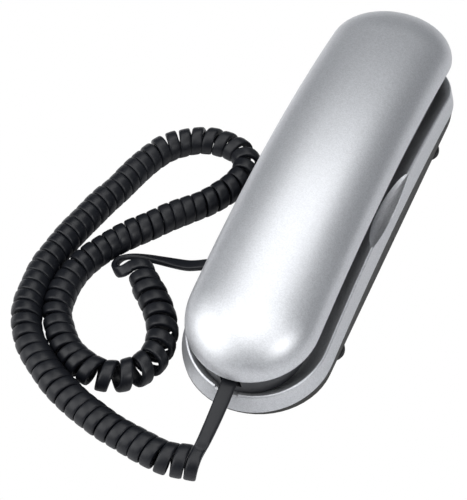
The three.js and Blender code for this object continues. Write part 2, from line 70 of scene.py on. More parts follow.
def span(node):
    """Half width, half length, lowest and highest height of a CAD node, in millimetres."""
    low, high = (Vector(corner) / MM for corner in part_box(node))
    return (high.x - low.x) / 2, (high.y - low.y) / 2, low.z, high.z


# ------------------------------------------------------------------ sizes, in millimetres
SHELL_HALF_WIDTH, SHELL_HALF_LENGTH, SHELL_EDGE, SHELL_TOP = span("handset_back_shell")
SEAM_HALF_WIDTH, SEAM_HALF_LENGTH, _, _ = span("base_top_shell")
COVER_BOTTOM = span("base_bottom_cover")[2]
WALL = 2.0
CROWN_HEIGHT = 15.1
CROWN_ROUNDNESS = 2.3
SPINE = SHELL_HALF_LENGTH - SHELL_HALF_WIDTH
BASE_SPINE = SEAM_HALF_LENGTH - SEAM_HALF_WIDTH


def arch(low, rise, reach):
    """Height of a line that is arched lengthwise, as a function of the place along the phone."""
    return lambda y: low + rise * (1.0 - (y / reach) ** 2)


handset_edge = arch(SHELL_EDGE, SHELL_TOP - SHELL_EDGE - CROWN_HEIGHT, SHELL_HALF_LENGTH)
face_arch = arch(10.5, 14.0, 100.0)
rim_height = arch(11.8, 14.2, 101.2)
seam_height = arch(4.9, 10.3, SEAM_HALF_LENGTH)
well_height = arch(5.2, 15.2, 101.0)
FACE_FLAT = 22.6
KEY_BACK = 3.4
KEY_TRAVEL = 1.2
# Height of the switch domes on the mat, just past the back of a key that is pressed all the way.
DOME_TOP = FACE_FLAT + KEY_BACK + KEY_TRAVEL + 0.1
SCOOP_RADIUS = 58.5
SCOOP_DEPTH = 4.5
SCOOP_Y = -1.5


def handset_face(y):
    """Height of the handset's face, which is flat around the keypad."""
    return min(face_arch(y), FACE_FLAT)


# ------------------------------------------------------------------ settings
class PhoneFinish(bpy.types.PropertyGroup):
    """Colours of the phone's finishes"""
    silver: FloatVectorProperty(
        name="Silver paint", description="Colour of the silver shells", subtype="COLOR",
        default=(0.53, 0.54, 0.56), min=0.0, max=1.0)
    charcoal: FloatVectorProperty(
        name="Charcoal plastic", description="Colour of the handset's front and small mouldings",
        subtype="COLOR", default=(0.012, 0.013, 0.016), min=0.0, max=1.0)
    cover: FloatVectorProperty(
        name="Cover plastic", description="Colour of the base's bottom cover", subtype="COLOR",
        default=(0.020, 0.0195, 0.0165), min=0.0, max=1.0)
    cord: FloatVectorProperty(
        name="Cord", description="Colour of the cord's jacket", subtype="COLOR",
        default=(0.0045, 0.0052, 0.0075), min=0.0, max=1.0)
    keys: FloatVectorProperty(
        name="Keys", description="Colour of the keys", subtype="COLOR",
        default=(0.62, 0.63, 0.65), min=0.0, max=1.0)


class PhoneCord(bpy.types.PropertyGroup):
    """Sizes of the cord"""
    width: FloatProperty(
        name="Cord width", description="Width of the flat cord", subtype="DISTANCE", unit="LENGTH",
        default=0.0048, min=0.003, max=0.007)
    thickness: FloatProperty(
        name="Cord thickness", description="Thickness of the flat cord", subtype="DISTANCE",
        unit="LENGTH", default=0.0025, min=0.0015, max=0.004)
    pitch: FloatProperty(
        name="Coil pitch", description="Closest distance between turns", subtype="DISTANCE",
        unit="LENGTH", default=0.00495, min=0.0045, max=0.008)
    steps: IntProperty(
        name="Steps per turn", description="Sections in each turn of the coil", default=22, min=12, max=48)


# ------------------------------------------------------------------ mesh helpers
def tidy_normals(mesh, angle=math.radians(32)):
    """Faces point out, and only edges sharper than the angle stay sharp."""
    work = bmesh.new()
    work.from_mesh(mesh)
    bmesh.ops.remove_doubles(work, verts=work.verts, dist=1e-7)
    bmesh.ops.dissolve_degenerate(work, edges=work.edges, dist=1e-7)
    bmesh.ops.recalc_face_normals(work, faces=work.faces)
    for face in work.faces:
        face.smooth = True
    for edge in work.edges:
        if len(edge.link_faces) == 2:
            edge.smooth = edge.calc_face_angle(0.0) < angle
    work.to_mesh(mesh)
    work.free()


def mesh_piece(name, points, faces, material=None, angle=math.radians(32)):
    """A new mesh object from points in millimetres."""
    mesh = bpy.data.meshes.new(name)
    mesh.from_pydata([tuple(Vector(p) * MM) for p in points], [], faces)
    tidy_normals(mesh, angle)
    piece = bpy.data.objects.new(name, mesh)
    bpy.context.scene.collection.objects.link(piece)
    if material:
        mesh.materials.append(material)
    return piece


def apply_modifiers(piece):
    """Keeps the shape that the modifiers make and drops the modifiers."""
    graph = bpy.context.evaluated_depsgraph_get()
    shaped = bpy.data.meshes.new_from_object(piece.evaluated_get(graph), depsgraph=graph)
    piece.modifiers.clear()
    piece.data = shaped


def carve(piece, cutters):
    """Cuts the cutters out of the piece, one after another."""
    for cutter in cutters:
        modifier = piece.modifiers.new("carve", "BOOLEAN")
        modifier.operation = "DIFFERENCE"
        modifier.solver = "EXACT"
        modifier.object = cutter
    apply_modifiers(piece)
    for cutter in cutters:
        bpy.data.objects.remove(cutter)
    tidy_normals(piece.data)


def settle(piece, body, replaced=()):
    """Puts a finished piece on its body and hides the CAD nodes it stands for."""
    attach(piece, body)
    if replaced:
        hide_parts(*replaced)
    return piece


def ring_faces(start, count, rings):
    """Quads between neighbouring closed rings of the same number of points."""
    faces = []
    for r in range(rings - 1):
        for k in range(count):
            a = start + r * count + k
            b = start + r * count + (k + 1) % count
            faces.append((a, b, b + count, a + count))
    return faces


def rounded_rectangle(half_x, half_y, radius, steps=5):
    """Corners of a rounded rectangle, anticlockwise."""
    radius = min(radius, half_x, half_y)
    points = []
    for cx, cy, start in ((1, -1, -90), (1, 1, 0), (-1, 1, 90), (-1, -1, 180)):
        for i in range(steps + 1):
            a = math.radians(start + 90 * i / steps)
            points.append((cx * (half_x - radius) + radius * math.cos(a),
                           cy * (half_y - radius) + radius * math.sin(a)))
    return points


def stacked(name, x, y, sections, material, steps=5):
    """A solid from rounded rectangles (half x, half y, corner radius, height), one above another."""
    points, faces = [], []
    count = 4 * (steps + 1)
    for half_x, half_y, radius, z in sections:
        points += [(x + px, y + py, z) for px, py in rounded_rectangle(half_x, half_y, radius, steps)]
    faces = ring_faces(0, count, len(sections))
    faces.append(tuple(reversed(range(count))))
    faces.append(tuple(range(len(points) - count, len(points))))
    return mesh_piece(name, points, faces, material)


def soft_block(name, x0, x1, y0, y1, z0, z1, material, corner=0.6, edge=0.25):
    """A block with rounded corners and softened edges, between two corners."""
    hx, hy = (x1 - x0) / 2, (y1 - y0) / 2
    sections = []
    for i in range(4):
        a = math.radians(30 * i)
        inset = edge * (1 - math.sin(a))
        sections.append((hx - inset, hy - inset, corner, z0 + edge * (1 - math.cos(a))))
    sections += [(sx, sy, r, z1 - (z - z0)) for sx, sy, r, z in reversed(sections)]
    return stacked(name, (x0 + x1) / 2, (y0 + y1) / 2, sections, material)


def turned(name, x, y, profile, material, segments=48):
    """A turned solid about an upright axis, from (radius, height) pairs that run outside up to the axis."""
    points = []
    for radius, z in profile:
        for k in range(segments):
            a = 2 * math.pi * k / segments
            points.append((x + radius * math.cos(a), y + radius * math.sin(a), z))
    faces = ring_faces(0, segments, len(profile))
    if profile[0] == profile[-1]:
        return mesh_piece(name, points[:-segments],
                          [tuple(i % (len(points) - segments) for i in face) for face in faces], material)
    if profile[0][0] > 0:
        faces.append(tuple(reversed(range(segments))))
    if profile[-1][0] > 0:
        faces.append(tuple(range(len(points) - segments, len(points))))
    return mesh_piece(name, points, faces, material)


def soft_post(name, x, y, radius, z0, z1, material=None, edge=0.3, segments=48):
    """An upright cylinder with softened rims."""
    profile = [(0.0, z0)]
    profile += [(radius - edge * (1 - math.sin(math.radians(a))), z0 + edge * (1 - math.cos(math.radians(a))))
                for a in (0, 30, 60, 90)]
    profile += [(radius - edge * (1 - math.cos(math.radians(a))), z1 - edge * (1 - math.sin(math.radians(a))))
                for a in (0, 30, 60, 90)]
    profile.append((0.0, z1))
    return turned(name, x, y, profile, material, segments)


def tilted_to_face(piece, y):
    """Sets a piece that was made about the origin onto the handset's arched face at a place along it."""
    slope = (handset_face(y + 0.5) - handset_face(y - 0.5))
    turn = Matrix.Rotation(math.atan(slope), 4, "X")
    piece.data.transform(Matrix.Translation(mm(0, y, handset_face(y))) @ turn)
    return piece


def join_pieces(name, pieces):
    """One mesh object from several, keeping their materials."""
    work = bmesh.new()
    materials = []
    for piece in pieces:
        start = len(work.faces)
        work.from_mesh(piece.data)
        work.faces.ensure_lookup_table()
        offsets = []
        for material in piece.data.materials:
            if material not in materials:
                materials.append(material)
            offsets.append(materials.index(material))
        for face in work.faces[start:]:
            face.material_index = offsets[face.material_index] if offsets else 0
    mesh = bpy.data.meshes.new(name)
    work.to_mesh(mesh)
    work.free()
    for material in materials:
        mesh.materials.append(material)
    for piece in pieces:
        bpy.data.objects.remove(piece)
    joined = bpy.data.objects.new(name, mesh)
    bpy.context.scene.collection.objects.link(joined)
    return joined


def outline(quarter=14, side=44, extra=()):
    """Places round a stadium outline as (sine, cosine, along), from the lower tip anticlockwise.

    The rounded ends have the sine and cosine of their angle, and the straight sides a place from -1 to 1.
    """
    lower = sorted({round(math.pi / 2 * i / quarter, 6) for i in range(-quarter, quarter + 1)} | set(extra))
    places = [(math.sin(a), -math.cos(a), -1.0) for a in lower]
    places += [(1.0, 0.0, -1.0 + 2.0 * i / side) for i in range(1, side)]
    upper = [math.pi / 2 * i / quarter for i in range(quarter, -quarter - 1, -1)]
    places += [(math.sin(a), math.cos(a), 1.0) for a in upper]
    places += [(-1.0, 0.0, 1.0 - 2.0 * i / side) for i in range(1, side)]
    return places


def place_at(place, half_width, spine):
    """The point of an outline place for a stadium of that half width and straight half length."""
    sine, cosine, along = place
    return half_width * sine, spine * along + half_width * cosine


# ------------------------------------------------------------------ shader groups
def socket(group, name, direction, kind, default=None):
    """Adds a socket to a node group's interface."""
    made = group.interface.new_socket(name=name, in_out=direction, socket_type=kind)
    if default is not None:
        made.default_value = default


def scaled_noise(tree, source, scale, detail=2.0, roughness=0.5):
    """A noise texture on object coordinates."""
    noise = tree.nodes.new("ShaderNodeTexNoise")
    noise.inputs["Detail"].default_value = detail
    noise.inputs["Roughness"].default_value = roughness
    tree.links.new(source, noise.inputs["Vector"])
    if isinstance(scale, (int, float)):
        noise.inputs["Scale"].default_value = scale
    else:
        tree.links.new(scale, noise.inputs["Scale"])
    return noise


def math_node(tree, operation, first, second=None, third=None):
    """The output of a math node whose inputs are numbers or sockets."""
    node = tree.nodes.new("ShaderNodeMath")
    node.operation = operation
    for index, value in enumerate((first, second, third)):
        if value is None:
            continue
        if isinstance(value, (int, float)):
            node.inputs[index].default_value = value
        else:
            tree.links.new(value, node.inputs[index])
    return node.outputs[0]


def remap(tree, value, low, high, to_low, to_high):
    """The output of a map range node."""
    node = tree.nodes.new("ShaderNodeMapRange")
    tree.links.new(value, node.inputs["Value"])
    for name, number in (("From Min", low), ("From Max", high), ("To Min", to_low), ("To Max", to_high)):
        if isinstance(number, (int, float)):
            node.inputs[name].default_value = number
        else:
            tree.links.new(number, node.inputs[name])
    return node.outputs["Result"]


def mix_colour(tree, factor, first, second):
    """The output of a colour mix node."""
    node = tree.nodes.new("ShaderNodeMix")
    node.data_type = "RGBA"
    node.clamp_factor = True
    for name, value in ((0, factor), (6, first), (7, second)):
        if isinstance(value, (int, float)):
            node.inputs[name].default_value = value
        elif isinstance(value, tuple):
            node.inputs[name].default_value = value
        else:
            tree.links.new(value, node.inputs[name])
    return node.outputs[2]


def new_group(name, inputs, outputs):
    """An empty node group with float inputs {name: default} and outputs [(name, socket kind)]."""
    group = bpy.data.node_groups.new(name, "ShaderNodeTree")
    for label, default in inputs.items():
        kind = "NodeSocketColor" if isinstance(default, tuple) else "NodeSocketFloat"
        socket(group, label, "INPUT", kind, default)
    for label, kind in outputs:
        socket(group, label, "OUTPUT", kind)
    entry = group.nodes.new("NodeGroupInput")
    leave = group.nodes.new("NodeGroupOutput")
    return group, entry, leave


def paint_flake_group():
    """Metallic paint: fine flakes, slight orange peel and faint handling marks."""
    group, entry, leave = new_group(
        "Paint Flake",
        {"Colour": (0.5, 0.5, 0.5, 1.0), "Flake Scale": 2600.0, "Flake Strength": 0.1,
         "Roughness": 0.32, "Handling": 0.05},
        [("Colour", "NodeSocketColor"), ("Roughness", "NodeSocketFloat"), ("Height", "NodeSocketFloat")])
    where = group.nodes.new("ShaderNodeTexCoord").outputs["Object"]
    flakes = group.nodes.new("ShaderNodeTexVoronoi")
    group.links.new(where, flakes.inputs["Vector"])
    group.links.new(entry.outputs["Flake Scale"], flakes.inputs["Scale"])
    grey = group.nodes.new("ShaderNodeSeparateColor")
    group.links.new(flakes.outputs["Color"], grey.inputs["Color"])
    spread = math_node(group, "MULTIPLY_ADD", grey.outputs[0], 2.0, -1.0)
    gain = math_node(group, "MULTIPLY_ADD", spread, entry.outputs["Flake Strength"], 1.0)
    scale = group.nodes.new("ShaderNodeVectorMath")
    scale.operation = "SCALE"
    group.links.new(entry.outputs["Colour"], scale.inputs[0])
    group.links.new(gain, scale.inputs["Scale"])
    group.links.new(scale.outputs["Vector"], leave.inputs["Colour"])
    cloud = scaled_noise(group, where, 22.0, 4.0, 0.6).outputs["Fac"]
    marks = math_node(group, "MULTIPLY_ADD", cloud, 2.0, -1.0)
    rough = math_node(group, "MULTIPLY_ADD", marks, entry.outputs["Handling"], entry.outputs["Roughness"])
    rough = math_node(group, "MULTIPLY_ADD", spread, 0.03, rough)
    group.links.new(rough, leave.inputs["Roughness"])
    peel = scaled_noise(group, where, 420.0, 1.0).outputs["Fac"]
    height = math_node(group, "MULTIPLY_ADD", spread, 0.25, peel)
    group.links.new(height, leave.inputs["Height"])
    return group


def moulded_grain_group():
    """Spark-eroded moulding grain with faint wear and dust."""
    group, entry, leave = new_group(
        "Moulded Grain",
        {"Colour": (0.1, 0.1, 0.1, 1.0), "Grain Scale": 2200.0, "Roughness": 0.5, "Wear": 0.06,
         "Dust": 0.05},
        [("Colour", "NodeSocketColor"), ("Roughness", "NodeSocketFloat"), ("Height", "NodeSocketFloat")])
    where = group.nodes.new("ShaderNodeTexCoord").outputs["Object"]
    fine = scaled_noise(group, where, entry.outputs["Grain Scale"], 3.0, 0.65).outputs["Fac"]
    broad = scaled_noise(group, where, 35.0, 5.0, 0.6).outputs["Fac"]
    normal = group.nodes.new("ShaderNodeNewGeometry").outputs["Normal"]
    parts = group.nodes.new("ShaderNodeSeparateXYZ")
    group.links.new(normal, parts.inputs[0])
    upward = remap(group, parts.outputs["Z"], 0.4, 1.0, 0.0, 1.0)
    dusty = math_node(group, "MULTIPLY", upward, remap(group, broad, 0.45, 0.75, 0.0, 1.0))
    dusty = math_node(group, "MULTIPLY", dusty, entry.outputs["Dust"])
    patchy = remap(group, broad, 0.3, 0.7, -1.0, 1.0)
    gain = math_node(group, "MULTIPLY_ADD", patchy, 0.08, 1.0)
    gain = math_node(group, "MULTIPLY_ADD", fine, 0.12, gain)
    scale = group.nodes.new("ShaderNodeVectorMath")
    scale.operation = "SCALE"
    group.links.new(entry.outputs["Colour"], scale.inputs[0])
    group.links.new(gain, scale.inputs["Scale"])
    tinted = mix_colour(group, dusty, scale.outputs["Vector"], (0.45, 0.44, 0.42, 1.0))
    group.links.new(tinted, leave.inputs["Colour"])
    rough = math_node(group, "MULTIPLY_ADD", patchy, entry.outputs["Wear"], entry.outputs["Roughness"])
    group.links.new(rough, leave.inputs["Roughness"])
    group.links.new(fine, leave.inputs["Height"])
    return group


GROUPS = {}


def shared_group(build):
    """Builds a shader group once and gives it back each time."""
    if build not in GROUPS:
        GROUPS[build] = build()
    return GROUPS[build]


def new_material(name, colour, metallic=0.0, roughness=0.5, **sockets):
    """A material with a Principled shader, its constant values set on the shader's own sockets."""
    material = bpy.data.materials.new(name)
    material.use_nodes = True
    shader = material.node_tree.nodes["Principled BSDF"]
    shader.inputs["Base Color"].default_value = tuple(colour)[:3] + (1.0,)
    shader.inputs["Metallic"].default_value = metallic
    shader.inputs["Roughness"].default_value = roughness
    for label, value in sockets.items():
        shader.inputs[label.replace("_", " ").title().replace("Ior", "IOR")].default_value = value
    material.diffuse_color = tuple(colour)[:3] + (1.0,)
    return material, shader


def add_effect(material, shader, build, bump_strength, bump_distance, **values):
    """Places a shared group in the material and wires it to the shader."""
    tree = material.node_tree
    effect = tree.nodes.new("ShaderNodeGroup")
    effect.node_tree = shared_group(build)
    for label, value in values.items():
        effect.inputs[label.replace("_", " ")].default_value = value
    tree.links.new(effect.outputs["Colour"], shader.inputs["Base Color"])
    tree.links.new(effect.outputs["Roughness"], shader.inputs["Roughness"])
    bump = tree.nodes.new("ShaderNodeBump")
    bump.inputs["Strength"].default_value = bump_strength
    bump.inputs["Distance"].default_value = bump_distance
    tree.links.new(effect.outputs["Height"], bump.inputs["Height"])
    tree.links.new(bump.outputs["Normal"], shader.inputs["Normal"])
    return effect


MATERIALS = {}


def moulded(name, colour, roughness, grain=2200.0, wear=0.06, dust=0.05, bump=0.25, specular=0.5):
    """A moulded plastic or rubber with its grain."""
    material, shader = new_material(name, colour, roughness=roughness)
    shader.inputs["Specular IOR Level"].default_value = specular
    add_effect(material, shader, moulded_grain_group, bump, 0.00006, Colour=tuple(colour)[:3] + (1.0,),
               Grain_Scale=grain, Roughness=roughness, Wear=wear, Dust=dust)
    return material


def silver_material():
    """The silver paint of the handset's back and the base's top."""
    colour = tuple(bpy.context.scene.phone_finish.silver)
    material, shader = new_material("silver_paint", colour, metallic=0.75, coat_weight=0.12,
                                    coat_roughness=0.2)
    add_effect(material, shader, paint_flake_group, 0.12, 0.00004, Colour=colour + (1.0,),
               Flake_Scale=2600.0, Flake_Strength=0.10, Roughness=0.46, Handling=0.03)
    return material


def board_material():
    """Green solder mask over faint tracks, with bare copper pads."""
    material, shader = new_material("circuit_board", (0.03, 0.16, 0.08), roughness=0.35)
    tree = material.node_tree
    where = tree.nodes.new("ShaderNodeTexCoord").outputs["Object"]
    tracks = tree.nodes.new("ShaderNodeTexBrick")
    tracks.inputs["Scale"].default_value = 190.0
    tracks.inputs["Mortar Size"].default_value = 0.035
    tree.links.new(where, tracks.inputs["Vector"])
    pads = tree.nodes.new("ShaderNodeTexVoronoi")
    pads.inputs["Scale"].default_value = 240.0
    pads.inputs["Randomness"].default_value = 0.55
    tree.links.new(where, pads.inputs["Vector"])
    is_pad = remap(tree, pads.outputs["Distance"], 0.16, 0.20, 1.0, 0.0)
    mask = mix_colour(tree, tracks.outputs["Fac"], (0.025, 0.13, 0.065, 1.0), (0.05, 0.24, 0.12, 1.0))
    tree.links.new(mix_colour(tree, is_pad, mask, (0.66, 0.64, 0.58, 1.0)), shader.inputs["Base Color"])
    tree.links.new(is_pad, shader.inputs["Metallic"])
    bump = tree.nodes.new("ShaderNodeBump")
    bump.inputs["Strength"].default_value = 0.3
    bump.inputs["Distance"].default_value = 0.0001
    tree.links.new(math_node(tree, "ADD", is_pad, tracks.outputs["Fac"]), bump.inputs["Height"])
    tree.links.new(bump.outputs["Normal"], shader.inputs["Normal"])
    return material


def steel_material():
    """Plain steel with a fine drawn grain."""
    material, shader = new_material("plain_steel", (0.55, 0.56, 0.57), metallic=1.0, roughness=0.32)
    tree = material.node_tree
    where = tree.nodes.new("ShaderNodeTexCoord").outputs["Object"]
    stretch = tree.nodes.new("ShaderNodeMapping")
    stretch.inputs["Scale"].default_value = (40.0, 900.0, 900.0)
    tree.links.new(where, stretch.inputs["Vector"])
    grain = scaled_noise(tree, stretch.outputs["Vector"], 3.0, 4.0).outputs["Fac"]
    tree.links.new(remap(tree, grain, 0.2, 0.8, 0.24, 0.44), shader.inputs["Roughness"])
    tree.links.new(mix_colour(tree, grain, (0.48, 0.49, 0.50, 1.0), (0.64, 0.65, 0.66, 1.0)),
                   shader.inputs["Base Color"])
    return material


def clear_material():
    """Clear moulded plastic with faint flow lines."""
    material, shader = new_material("clear_plastic", (0.88, 0.90, 0.92), roughness=0.12,
                                    transmission_weight=0.75, ior=1.49)
    tree = material.node_tree
    where = tree.nodes.new("ShaderNodeTexCoord").outputs["Object"]
    flow = scaled_noise(tree, where, 180.0, 2.0).outputs["Fac"]
    tree.links.new(remap(tree, flow, 0.2, 0.8, 0.08, 0.22), shader.inputs["Roughness"])
    return material


def make_materials():
    """Builds every material once, by name."""
    finish = bpy.context.scene.phone_finish
    MATERIALS.update(
        silver_paint=silver_material(),
        charcoal_plastic=moulded("charcoal_plastic", finish.charcoal, 0.42, dust=0.02, specular=0.4),
        cover_plastic=moulded("cover_plastic", finish.cover, 0.55, grain=1500.0, dust=0.02, specular=0.3),
        rubber=moulded("rubber", (0.012, 0.012, 0.013), 0.72, grain=3000.0, dust=0.12),
        cord_pvc=moulded("cord_pvc", finish.cord, 0.42, grain=1400.0, dust=0.01, bump=0.18,
                         specular=0.28),
        key_plastic=moulded("key_plastic", finish.keys, 0.42, grain=2600.0, dust=0.0),
        figure_ink=moulded("figure_ink", (0.015, 0.016, 0.02), 0.5),
        board=board_material(),
        steel=steel_material(),
        clear_plastic=clear_material(),
    )


# ------------------------------------------------------------------ stage
CAMERA_AZIMUTH, CAMERA_ELEVATION, CAMERA_ROLL = 23.4, 49.62, -1.13
CAMERA_TARGET = (-23.77, -39.83, 20.0)
CAMERA_DISTANCE = 0.7594
CAMERA_LENS = 138.2
# Name, azimuth, elevation, distance, width, height and power of each studio light.
LIGHTS = (
    ("left_box", -52.0, 29.0, 1.3, 1.15, 1.0, 13.0),
    ("right_box", 54.0, 40.0, 1.3, 0.45, 0.45, 6.0),
    ("overhead_box", -30.0, 78.0, 1.3, 1.2, 1.0, 11.0),
    ("rear_box", -168.0, 62.0, 1.3, 0.80, 0.45, 4.5),
)
FLOOR_HALF = 1500.0


def look_from(azimuth, elevation):
    """Unit vector from the object towards a viewer; azimuth 0 looks along +Y."""
    a, e = math.radians(azimuth), math.radians(elevation)
    return Vector((math.sin(a) * math.cos(e), -math.cos(a) * math.cos(e), math.sin(e)))


def soft_box(name, azimuth, elevation, distance, width, height, power):
    """A rectangular area light that faces the phone."""
    light = bpy.data.lights.new(name, "AREA")
    light.shape = "RECTANGLE"
    light.size = width
    light.size_y = height
    light.energy = power
    lamp = bpy.data.objects.new(name, light)
    towards = look_from(azimuth, elevation)
    lamp.location = towards * distance
    lamp.rotation_euler = towards.to_track_quat("Z", "Y").to_euler()
    bpy.context.scene.collection.objects.link(lamp)


class PHONE_OT_stage(bpy.types.Operator):
    """Adds the camera, the pale floor and the soft studio lights"""
    bl_idname = "phone.stage"
    bl_label = "Stage"

    def execute(self, context):
        scene = context.scene
        scene.view_settings.view_transform = "Standard"
        camera = bpy.data.objects.new("camera", bpy.data.cameras.new("camera"))
        camera.data.sensor_width = 36.0
        camera.data.lens = CAMERA_LENS
        camera.data.clip_end = 10.0
        towards = look_from(CAMERA_AZIMUTH, CAMERA_ELEVATION)
        camera.location = mm(*CAMERA_TARGET) + towards * CAMERA_DISTANCE
        roll = Matrix.Rotation(math.radians(CAMERA_ROLL), 3, "Z")
        turn = towards.to_track_quat("Z", "Y").to_matrix() @ roll
        camera.rotation_euler = turn.to_euler()
        scene.collection.objects.link(camera)
        scene.camera = camera

        floor_material = self.floor_material()
        corners = [(x * FLOOR_HALF, y * FLOOR_HALF, 0) for x, y in ((-1, -1), (1, -1), (1, 1), (-1, 1))]
        floor = mesh_piece("floor", corners, [(0, 1, 2, 3)], floor_material)

        world = bpy.data.worlds.new("studio")
        world.use_nodes = True
        sky = world.node_tree.nodes["Background"]
        sky.inputs["Color"].default_value = (0.80, 0.88, 1.0, 1.0)
        sky.inputs["Strength"].default_value = 0.12
        scene.world = world
        for light in LIGHTS:
            soft_box(*light)
        return {"FINISHED"}

    @staticmethod
    def floor_material():
        """White to the camera from above, a soft pale grey to bounced light, and clear from below."""
        material, shader = new_material("pale_floor", (0.78, 0.78, 0.79), roughness=0.9)
        tree = material.node_tree
        path = tree.nodes.new("ShaderNodeLightPath")
        white = tree.nodes.new("ShaderNodeEmission")
        white.inputs["Color"].default_value = (1.0, 1.0, 1.0, 1.0)
        white.inputs["Strength"].default_value = 1.0
        mix = tree.nodes.new("ShaderNodeMixShader")
        tree.links.new(path.outputs["Is Camera Ray"], mix.inputs[0])
        tree.links.new(shader.outputs[0], mix.inputs[1])
        tree.links.new(white.outputs[0], mix.inputs[2])
        clear = tree.nodes.new("ShaderNodeBsdfTransparent")
        side = tree.nodes.new("ShaderNodeNewGeometry")
        below = tree.nodes.new("ShaderNodeMixShader")
        tree.links.new(side.outputs["Backfacing"], below.inputs[0])
        tree.links.new(mix.outputs[0], below.inputs[1])
        tree.links.new(clear.outputs[0], below.inputs[2])
        tree.links.new(below.outputs[0], tree.nodes["Material Output"].inputs["Surface"])
        return material


# ------------------------------------------------------------------ cord
# The flat lead from the handset's lower end down to the coil.
HANDSET_LEAD = [
    (0.0, -100.4, 21.0), (0.0, -102.1, 20.9), (0.0, -105.2, 20.1), (-0.1, -110.8, 18.0),
    (-0.3, -116.5, 15.9), (-0.5, -121.0, 14.5), (-0.7, -125.0, 13.4),
]
# The axis of the curly stretch, which lies on the floor.
COIL_AXIS = [
    (-0.9, -130.3), (-11.9, -132.2), (-18.9, -131.5), (-25.6, -130.3), (-32.7, -128.7), (-39.8, -127),
    (-47.3, -124.5), (-55.2, -121.5), (-65.2, -116.5), (-73.1, -111.2), (-80.9, -105), (-85.9, -99.7),
    (-90, -93.1), (-93.1, -85), (-94.7, -75.1), (-95.6, -64.7), (-94.8, -55.6), (-93, -45),
    (-90.8, -35.1), (-88.5, -25.1), (-85.8, -15.9), (-83.4, -5.6), (-80.6, 3.8), (-76.5, 12.6),
    (-70.4, 18.9), (-64.5, 22.6), (-58.5, 24.1), (-50.4, 23.7), (-43.4, 20.2), (-40.4, 13),
    (-41.4, 5.6), (-44.2, -1.5), (-48.7, -9.1), (-54.4, -15.9), (-60.1, -22.7), (-65.4, -30),
    (-70.9, -37), (-75.6, -44.1), (-79.7, -52.3), (-82.2, -60), (-83.2, -67.8), (-82.9, -75.4),
    (-80.9, -84.3), (-76.8, -90.9), (-71, -97.8), (-64.7, -102.3), (-57.5, -105.4), (-50.3, -106.2),
    (-43.4, -103.4), (-38.2, -98), (-36, -91), (-36.4, -83.8), (-38.6, -77.2), (-42.2, -71.4),
    (-47, -65.6), (-52, -60.8), (-56.2, -56.0), (-59.8, -51.6),
]
# The flat lead from the coil to the socket in the base's left side.
BASE_LEAD = [
    (-64.4, -56.6, 7.8), (-67.2, -56.6, 5.8), (-69.8, -54.0, 4.4), (-70.4, -50.0, 3.6), (-68.8, -46.8, 3.2),
    (-65.6, -45.0, 3.1), (-61.0, -43.8, 3.1), (-55.1, -43.0, 3.2), (-48.6, -42.8, 4.0), (-42.4, -43.3, 5.9),
    (-37.6, -43.0, 7.9), (-34.0, -42.0, 9.0), (-30.6, -41.4, 9.2),
]
# Outer radius of the coil along its length, as (share of the length, radius).
COIL_RADII = [
    (0.0, 6.7), (0.04, 6.3), (0.35, 6.15), (0.55, 5.85), (0.75, 6.0), (0.9, 6.4), (0.97, 6.4), (1.0, 5.7),
]
# How much looser than closed the turns lie along the coil, as (share of the length, factor).
COIL_SLACK = [(0.0, 1.0), (0.04, 1.0), (0.84, 1.0), (0.92, 1.16), (1.0, 1.26)]
# Angles round the coil, from its top, at which the turns start and end.
COIL_START = math.radians(-14)
COIL_END = (math.radians(24), math.radians(50))
# How much wider the handset lead is drawn at the handset than the rest of the cord.
LEAD_WIDENING = 1.25
LEAD_STEP = 1.3
# Direction of the cord's wide side at the handset, along the base lead, and where that enters the base.
WIDE_AT_HANDSET = Vector((-0.93, -0.37, 0.0))
WIDE_ON_EDGE = Vector((0.25, -0.6, 0.76)).normalized()
WIDE_AT_BASE = Vector((0.0, -1.0, 0.0))
# Shares of the base lead by which it stands on edge, and over which it then turns to the base.
EDGE_BY, TURN_OVER = 0.34, 0.46
CORD_CORNERS = 20
SQUARENESS = 0.5


def blend_between(table, share):
    """Value of a table of (share, value) at a share, eased between its rows."""
    for (s0, v0), (s1, v1) in zip(table, table[1:]):
        if share <= s1:
            t = max(0.0, (share - s0) / (s1 - s0))
            return v0 + (v1 - v0) * t * t * (3 - 2 * t)
    return table[-1][1]


def spline(points, step):
    """Points every step along a smooth curve through the given points."""
    points = [Vector(p) for p in points]
    fine = []
    padded = [2 * points[0] - points[1], *points, 2 * points[-1] - points[-2]]
    for a, b, c, d in zip(padded, padded[1:], padded[2:], padded[3:]):
        for i in range(24):
            t = i / 24
            fine.append(0.5 * ((2 * b) + (c - a) * t + (2 * a - 5 * b + 4 * c - d) * t * t
                               + (3 * b - 3 * c + d - a) * t ** 3))
    fine.append(points[-1])
    return even(fine, step)


def even(line, step):
    """The same line with points at even steps."""
    lengths = [0.0]
    for a, b in zip(line, line[1:]):
        lengths.append(lengths[-1] + (b - a).length)
    count = max(2, round(lengths[-1] / step))
    result, j = [], 0
    for i in range(count + 1):
        s = lengths[-1] * i / count
        while j + 2 < len(lengths) and lengths[j + 1] < s:
            j += 1
        t = (s - lengths[j]) / max(lengths[j + 1] - lengths[j], 1e-9)
        result.append(line[j].lerp(line[j + 1], t))
    return result


